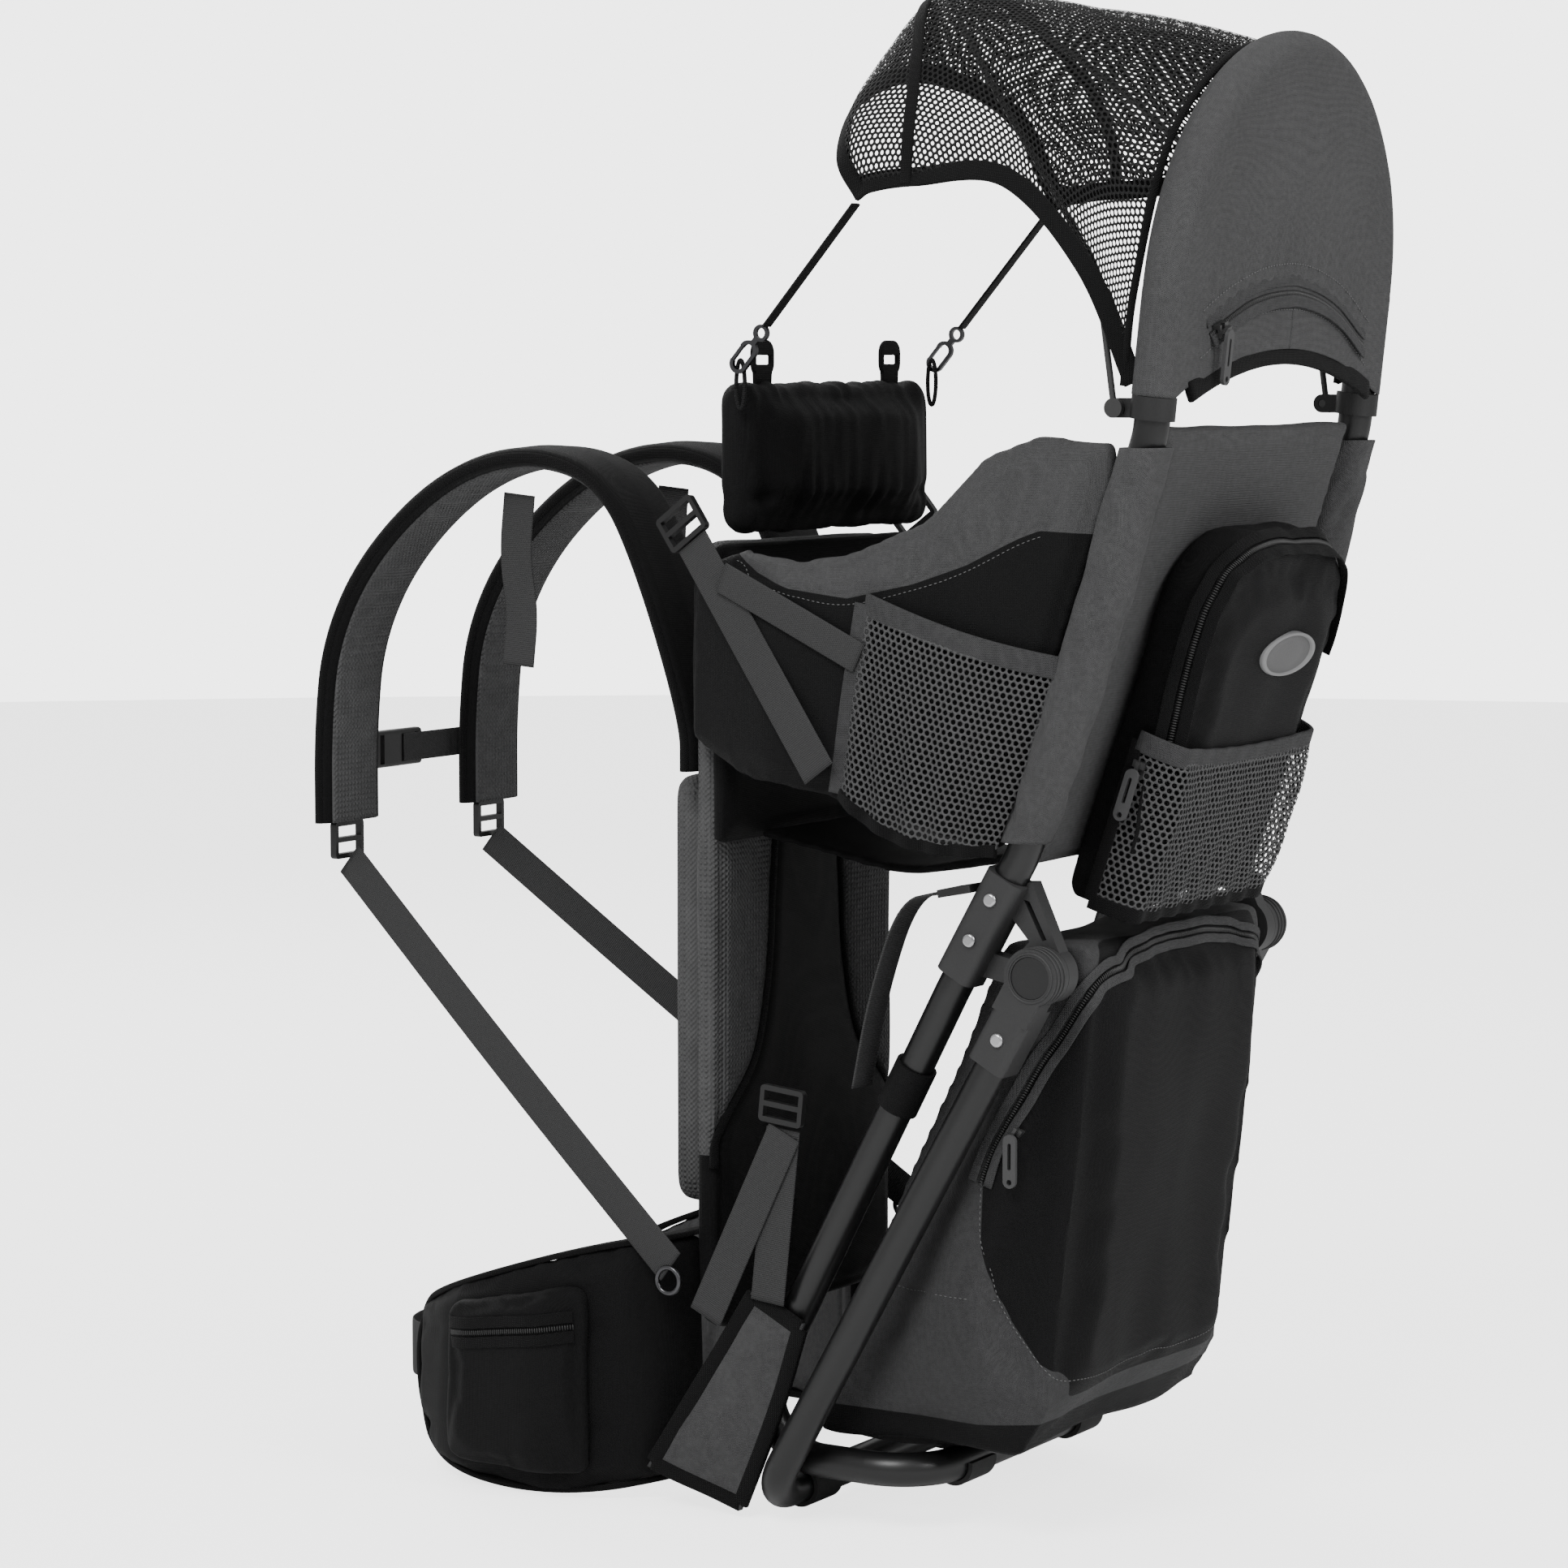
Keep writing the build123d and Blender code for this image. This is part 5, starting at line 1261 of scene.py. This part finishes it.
# ---------------------------------------------------------------- storage bag under the seat
# The large bag between the frame legs: grey sides, a black rear panel that opens by a zip all
# round its top and side, and a black proofed base. The panels are topstitched in grey.
bag_cloth = cloth_material(
    "bag_grey_beside_black", black, threads=1000.0, rough=0.62, sheen=0.02, second=(0.05, 0.05, 0.051),
)
panel_z = np.array(
    [
        -0.345, -0.262, -0.250, -0.225, -0.205, -0.175, -0.129, -0.100, -0.074, -0.048, -0.022, 0.000, 0.018,
        0.030,
    ]
)
panel_y = np.array(
    [
        -0.360, -0.300, -0.278, -0.258, -0.248, -0.241, -0.242, -0.256, -0.270, -0.286, -0.303, -0.313,
        -0.320, -0.330,
    ]
)


def bag_grey(co):
    """How far inside the grey cloth a point is: in front of the black panel, and above the base."""
    across = np.clip((np.abs(co[:, 0]) - 0.100) / 0.028, 0, 1)
    before_panel = co[:, 1] - np.interp(co[:, 2], panel_z, panel_y)
    below_panel = -0.262 - co[:, 2] - 0.012 * (1 - across)
    above_panel = co[:, 2] - (0.016 - 0.004 * across)
    outside = np.maximum(np.maximum(before_panel * across - 0.004 * (1 - across), below_panel), above_panel)
    return np.minimum(outside, co[:, 2] + 0.293 + 0.10 * np.clip(co[:, 1] + 0.235, -1, 0))


bag = swell("storage_bag_shell", "storage_bag", bag_cloth, voxel=0.006, shrink=0.006, cap=0.012, pressure=4.0)
zip_upright = [
    (-0.137, -0.240), (-0.118, -0.247), (-0.100, -0.256),
    (-0.074, -0.270), (-0.048, -0.286), (-0.022, -0.303),
]
zip_top = [
    (-0.112, -0.322, -0.002), (-0.085, -0.326, 0.008), (-0.04, -0.326, 0.013), (0, -0.326, 0.014),
    (0.04, -0.326, 0.013), (0.085, -0.326, 0.008), (0.112, -0.322, -0.002),
]
left_zip = [(-0.130, py, pz) for pz, py in zip_upright]
right_zip = [(0.130, py, pz) for pz, py in reversed(zip_upright)]
side_zip = flowing(left_zip + zip_top + right_zip, 0.003)
low_edge = flowing([
    (-0.130, -0.241, -0.137), (-0.130, -0.241, -0.175), (-0.130, -0.248, -0.205), (-0.130, -0.258, -0.225),
    (-0.130, -0.278, -0.250), (-0.118, -0.296, -0.262), (-0.06, -0.300, -0.270), (0, -0.300, -0.273),
    (0.06, -0.300, -0.270), (0.118, -0.296, -0.262),
], 0.003)
side_seam = flowing([(-0.130, -0.150, -0.211), (-0.130, -0.200, -0.211), (-0.130, -0.246, -0.211)], 0.003)
crumple(bag, (1, 0.8, 0.45), 0.06, 0.0050, 21.0)
crumple(bag, (1, 1, 0.5), 0.016, 0.0016, 22.0, near_line(side_zip, 0.03))
sew(bag, [side_zip, low_edge, side_seam], 0.004, 0.0018)
mark_tone(bag, bag_grey)
stuffed(bag, ["storage_bag"])
bag_surface = surface(bag)
zipper("bag_zip", bag_surface, side_zip, tape_width=0.006)
bead_row("bag_panel_stitches", [low_edge, side_seam], bag_surface, stitch_size, thread)

# ---------------------------------------------------------------- back panel and back pads
# The padded back that hangs on the wearer: black nylon in the middle, breathable spacer mesh
# wrapped round both edges with black piping between, and two long pads of the same mesh.
# Its pits come out darker than its threads through the weave's painted shade.
spacer_cloth = cloth_material(
    "grey_spacer_mesh", (0.085, 0.085, 0.086), threads=270.0, depth=0.0009, rough=0.85,
)
pad_edge_z = [-0.262, -0.200, -0.150, -0.119, -0.081, -0.029, 0.025, 0.079, 0.130, 0.200, 0.262]
pad_edge_x = [-0.121, -0.119, -0.118, -0.104, -0.066, -0.050, -0.045, -0.040, -0.037, -0.036, -0.036]
back_panel = swell(
    "back_panel_pad", "back_panel", black_cloth, voxel=0.005, shrink=0.002, cap=0.005, smooth=8,
)
pad_edge = flowing([(px, -0.031, pz) for px, pz in zip(pad_edge_x[2:-1], pad_edge_z[2:-1])], 0.003)
sew(back_panel, [pad_edge, pad_edge * np.array([-1, 1, 1])], 0.006, 0.003)
crumple(back_panel, (1, 1, 0.6), 0.05, 0.0015, 31.0)
back_panel.data.materials.append(spacer_cloth)
for polygon in back_panel.data.polygons:
    place = polygon.center
    polygon.material_index = int(abs(place.x) > -np.interp(place.z, pad_edge_z, pad_edge_x))
stuffed(back_panel, ["back_panel"])
back_surface = surface(back_panel)
for side_name, flip in sides:
    spots, facing = lay_on(back_surface, pad_edge * np.array([flip, 1, 1]), 0.0008)
    over = np.cross(unit(np.gradient(spots, axis=0)), facing)
    bind(f"back_piping_{side_name}", spots, over, 0.0065, 0.0042)
back_pads = swell(
    "back_pads_mesh", "back_pads", spacer_cloth, voxel=0.005, shrink=0.003, cap=0.008, pressure=5.0, smooth=8,
)
stuffed(back_pads, ["back_pads"])

# ---------------------------------------------------------------- shoulder straps
# Curved foam straps in black nylon, lined with spacer mesh on the wearer's side and piped
# along both edges. They are sewn to the back panel's face and end above the chest.
def rounded(points, rounds=4):
    """A polyline with its corners cut off again and again."""
    p = np.array(points, float)
    for _ in range(rounds):
        near, far = 0.75 * p[:-1] + 0.25 * p[1:], 0.25 * p[:-1] + 0.75 * p[1:]
        p = np.vstack([p[:1], np.stack([near, far], axis=1).reshape(-1, 3), p[-1:]])
    return p


def even(path, step=0.004):
    """The same path with evenly spaced points."""
    travel = np.concatenate([[0], np.cumsum(np.linalg.norm(np.diff(path, axis=0), axis=1))])
    t = np.linspace(0, travel[-1], max(2, int(travel[-1] / step)))
    return np.stack([np.interp(t, travel, path[:, k]) for k in range(3)], axis=1)


strap_yz = [
    (-7.7, 110), (-7.7, 142), (26, 240), (58, 300), (118, 318), (186, 300), (250, 246), (284, 186),
    (291, 122), (291, 60),
]
strap_path = even(rounded([(-0.085, py / 1000, pz / 1000) for py, pz in strap_yz]))
strap_inward = np.cross(unit(np.gradient(strap_path, axis=0)), (1.0, 0, 0))
for side_name, flip in sides:
    path = strap_path * np.array([flip, 1, 1])
    strap_piece = tape(f"shoulder_strap_{side_name}", path, (1, 0, 0), 0.064, 0.012, black_cloth, bulge=0.25)
    stuffed(strap_piece, ["shoulder_straps"])
    lining = tape(
        f"strap_lining_{side_name}", path + strap_inward * 0.0062, (1, 0, 0), 0.050, 0.004, spacer_cloth,
        bulge=0.3,
    )
    stuffed(lining, [])
    for edge_name, reach in (("inner", 0.0315), ("outer", -0.0315)):
        bind(
            f"strap_piping_{side_name}_{edge_name}", path + np.array([reach, 0, 0]), (1, 0, 0), 0.005, 0.0064,
        )

# ---------------------------------------------------------------- webbing
# Woven polyester webbing of 25, 38 and 20 mm, with a rib across it every 1.3 mm and two firm
# edges. It is threaded through the buckles and folded and sewn where it ends.
ribs, ribs_in, ribs_out = shader_group(
    "ribbed_webbing",
    [("Vector", "NodeSocketVector", None), ("Rib pitch", "NodeSocketFloat", 0.0013)],
    [("Height", "NodeSocketFloat"), ("Shade", "NodeSocketFloat")],
)
rib_parts = ribs.nodes.new("ShaderNodeSeparateXYZ")
ribs.links.new(ribs_in.outputs["Vector"], rib_parts.inputs["Vector"])
rib_turn = calc(ribs, "DIVIDE", rib_parts.outputs["Y"], ribs_in.outputs["Rib pitch"])
rib_wave = calc(ribs, "SINE", calc(ribs, "MULTIPLY", rib_turn, 2 * math.pi))
pick_wave = calc(
    ribs, "SINE",
    calc(ribs, "MULTIPLY_ADD", rib_parts.outputs["X"], 4200.0, calc(ribs, "MULTIPLY", rib_turn, math.pi)),
)
ribs.links.new(calc(ribs, "MULTIPLY_ADD", pick_wave, 0.35, rib_wave), ribs_out.inputs["Height"])
# The webbing's colour follows its ribs. It is lighter on the ribs and darker in the grooves between them,
# which is painted shade.
ribs.links.new(
    calc(ribs, "MULTIPLY_ADD", rib_wave, 0.14, calc(ribs, "MULTIPLY_ADD", pick_wave, 0.08, 1.0)),
    ribs_out.inputs["Shade"],
)


def webbing_material(name, colour):
    material, tree, shader = new_material(name)
    where = tree.nodes.new("ShaderNodeUVMap")
    where.uv_map = "tape"
    group = place_group(tree, ribs, Rib_pitch=0.0013)
    tree.links.new(where.outputs["UV"], group.inputs["Vector"])
    tree.links.new(tint(tree, colour, group.outputs["Shade"]), shader.inputs["Base Color"])
    add_bump(tree, shader, group.outputs["Height"], 0.0002)
    shader.inputs["Roughness"].default_value = 0.72
    shader.inputs["Specular IOR Level"].default_value = 0.25
    return material


grey_webbing = webbing_material("grey_polyester_webbing", (0.045, 0.045, 0.0455))
black_webbing = webbing_material("black_nylon_webbing", (0.006, 0.006, 0.0062))


def webbing(
    name, points, across, width, replaced=(), body="carrier", material=None,
    thickness=0.0018,
):
    """One length of webbing on each side of the carrier."""
    for side_name, flip in sides:
        mirror = np.array([flip, 1, 1])
        path = even(np.array(points, float)) * mirror
        sideways = np.array(across, float) * mirror
        line = tape(f"{name}_{side_name}", path, sideways, width, thickness, material or grey_webbing)
        settle(line, body, replaced)


lower_path = rounded([(-0.085, 0.289, 0.0327), (-0.1195, 0.1345, -0.0920), (-0.154, -0.020, -0.210)])
webbing("lower_webbing_line", lower_path, (0, 0.63, -0.77), 0.025, replaced=["lower_webbing"])
webbing(
    "lifter_webbing_line", [(-0.148, -0.034, 0.262), (-0.1649, -0.139, 0.119)], (0, 0.8, -0.6), 0.025,
    replaced=["lifter_webbing"],
)
webbing(
    "fin_webbing_line", [(-0.1504, -0.104, -0.112), (-0.1504, -0.092, -0.226)], (0, 1, 0.1), 0.025,
    replaced=["fin_webbing"],
)
webbing(
    "fin_tail_line", [(-0.1526, -0.106, -0.114), (-0.1526, -0.046, -0.240)], (0, 1, 0.48), 0.025,
    replaced=["fin_webbing"],
)
stirrup_yz = [(-0.2219, 0.0475), (-0.1942, 0.042), (-0.1722, -0.020), (-0.1602, -0.080)]
stirrup_path = rounded([(-0.147, py, pz) for py, pz in stirrup_yz], 3)
webbing("stirrup_webbing_line", stirrup_path, (1, 0, 0), 0.025, replaced=["stirrup_webbing"])
webbing(
    "strap_tail",
    rounded(
        [(-0.095, 0.137, 0.288), (-0.0955, 0.141, 0.245), (-0.0945, 0.135, 0.210), (-0.096, 0.138, 0.173)], 3,
    ),
    (0, 1, 0.03), 0.025,
)
webbing(
    "side_strap", rounded([(-0.1545, -0.060, 0.240), (-0.1590, -0.110, 0.218), (-0.1600, -0.165, 0.192)], 3),
    (0, 0.45, -1), 0.020,
)
for name, low_x, high_x in (("sternum_web_left", -0.089, -0.0383), ("sternum_web_right", -0.006, 0.089)):
    piece = tape(
        name, even(np.array([(low_x, 0.2995, 0.104), (high_x, 0.2995, 0.104)])), (0, 0, 1), 0.020, 0.0018,
        grey_webbing,
    )
    settle(piece, "carrier", ["sternum_webbing"])
for name, corners in (
    ("belt_web_left", [(-0.126, 0.194), (-0.102, 0.232), (-0.0383, 0.232)]),
    ("belt_web_right", [(0.126, 0.194), (0.102, 0.2264), (-0.006, 0.2264)]),
):
    line = even(rounded([(px, py, -0.298) for px, py in corners], 3))
    settle(
        tape(name, line, (0, 0, 1), 0.038, 0.0019, grey_webbing), "carrier", ["belt_webbing"],
    )
lower_ends = [(flip * 0.1545, -0.0185, -0.219) for flip in (-1, 1)]
grommets = grow(
    "lower_grommets", lower_ends, ring_tree,
    {"Ring radius": 0.0085, "Rib radius": 0.0017, "Finish": dark_plate},
)
settle(grommets, "carrier")

# ---------------------------------------------------------------- child's harness
# Two padded grey straps lie on the seat back; the rest of the harness is behind the wearer.
harness_path = [(-0.042, seat_line(z) + 0.0077, z) for z in np.linspace(0.096, 0.268, 40)]
for side_name, flip in sides:
    path = np.array(harness_path) * np.array([flip, 1, 1])
    pad = tape(f"harness_strap_{side_name}", path, (1, 0, 0), 0.038, 0.0055, grey_cloth, bulge=0.2)
    stuffed(pad, ["harness_straps"])

# ---------------------------------------------------------------- hip belt and pouches
# Foam belt wings in black nylon, lined with spacer mesh, bound along their edge and sewn along
# two channels. Each carries a flat black pouch with a zip across it.
belt_plan = even(
    rounded(
        [
            (-0.098, -0.0067, 0), (-0.134, 0.0013, 0), (-0.164, 0.070, 0), (-0.160, 0.140, 0),
            (-0.126, 0.194, 0),
        ]
    ),
    0.003,
)


def belt_x(y):
    return np.interp(y, belt_plan[:, 1], belt_plan[:, 0])


belt_cloth = cloth_material(
    "belt_black_over_mesh", black, threads=1000.0, rough=0.66, second=(0.085, 0.085, 0.086),
)
belt = swell(
    "hip_belt_pads", "hip_belt_wings", belt_cloth, voxel=0.005, shrink=0.002, cap=0.006, pressure=4.0,
    smooth=6,
)
channels = []
for drop in (-0.252, -0.318):
    line = np.array([(belt_x(y) - 0.009, y, drop - 0.12 * y) for y in np.linspace(0.03, 0.185, 50)])
    channels += [line, line * np.array([-1, 1, 1])]
sew(belt, channels, 0.006, 0.003)
crumple(belt, (1, 1, 1), 0.045, 0.0014, 41.0)
mark_tone(belt, lambda co: -belt_x(co[:, 1]) - np.abs(co[:, 0]) - 0.003)
stuffed(belt, ["hip_belt_wings"])
belt_corners = [
    (-0.022, -0.194), (0.040, -0.202), (0.150, -0.238), (0.198, -0.262), (0.199, -0.330), (0.178, -0.362),
    (0.060, -0.370), (-0.022, -0.352),
]
belt_edge = even(rounded([(0, py, pz) for py, pz in belt_corners], 4), 0.004)
belt_edge[:, 0] = belt_x(belt_edge[:, 1])
pouch = swell(
    "belt_pouch_shells", "belt_pouches", black_cloth, voxel=0.004, shrink=0.0015, cap=0.006, pressure=5.0,
    smooth=6,
)
crumple(pouch, (1, 1, 1), 0.03, 0.0014, 43.0)
stuffed(pouch, ["belt_pouches"])
pouch_surface = surface(pouch)
for side_name, flip in sides:
    mirror = np.array([flip, 1, 1])
    bind(f"belt_binding_{side_name}", belt_edge * mirror, (1, 0, 0), 0.014, 0.004)
    pouch_zip = np.array(
        [(belt_x(y) - 0.022, y, -0.252 - 0.14 * (y - 0.04)) for y in np.linspace(0.044, 0.134, 36)]
    )
    zipper(f"belt_pouch_zip_{side_name}", pouch_surface, pouch_zip * mirror, tape_cloth=black_binding)

# ---------------------------------------------------------------- stabiliser fins
# Flat grey fins of padded cloth, bound in black, tie the belt to the base of the frame.
fin_front = stretch([(0.002, -0.346), (-0.040, -0.282), (-0.080, -0.219)], 40)
fin_rear = stretch([(-0.070, -0.366), (-0.095, -0.305), (-0.118, -0.238)], 40)
fin_rows = []
for (front_y, front_z), (rear_y, rear_z) in zip(fin_front, fin_rear):
    share = np.linspace(0, 1, 30)
    fin_y, fin_z = front_y + (rear_y - front_y) * share, front_z + (rear_z - front_z) * share
    fin_rows.append(np.stack([np.full(30, -0.1471), fin_y, fin_z], axis=1))
fin_grid = np.array(fin_rows)
fin_wave = ruffle(fin_grid.reshape(-1, 3), np.array([1, 1, 1]), 0.04, 51.0).reshape(fin_grid.shape[:2])
fin_grid[..., 0] += 0.0016 * fin_wave
for side_name, flip in sides:
    grid = fin_grid * np.array([flip, 1, 1])
    fin = sheet_piece(f"stabiliser_fin_{side_name}", grid, 0.0034, grey_cloth)
    stuffed(fin, ["stabiliser_fins"])
    for edge_name, line in (
        ("front", grid[:, 0]), ("rear", grid[:, -1]), ("foot", grid[0]), ("top", grid[-1]),
    ):
        inside_edge = line + (grid.reshape(-1, 3).mean(axis=0) - line) * 0.06
        inward = unit(grid.reshape(-1, 3).mean(axis=0) - line)
        bind(f"fin_binding_{side_name}_{edge_name}", inside_edge, inward, 0.0105, 0.0048)

# ---------------------------------------------------------------- loops and ties
# Narrow black webbing: the ties that hold the canopy's brim to the snap hooks, the cord loops
# the hooks rest on, and the flat loops on the front bolster.
webbing(
    "canopy_tie", [(-0.127, -0.143, 0.475), (-0.127, -0.077, 0.399)], (1, 0, 0), 0.010,
    ["tie_straps"], "canopy_bow", black_webbing,
)
loop_turn = np.linspace(0, 2 * math.pi, 33)[:-1]
for side_name, flip in sides:
    loop_path = [
        (-0.1237 * flip, -0.0555 + 0.0032 * math.cos(a), 0.362 + 0.0155 * math.sin(a))
        for a in loop_turn
    ]
    loop = tape(
        f"cord_loop_{side_name}", loop_path, (1, 0, 0), 0.003, 0.0028, black_webbing, closed_ends=False,
    )
    settle(loop, "carrier", ["cord_loops"])
pad_loops = cad_copy("bolster_loops", "pad_loops")
loop_points = points_of(pad_loops)
loop_points[:, 2] -= 0.010 * (loop_points[:, 2] < 0.3685)
move_points(pad_loops, loop_points)
soften = pad_loops.modifiers.new("soften", "BEVEL")
soften.width = 0.0008
soften.segments = 2
bake_modifiers(pad_loops)
pad_loops.data.materials.append(black_cloth)
settle(pad_loops, "carrier", ["pad_loops"])
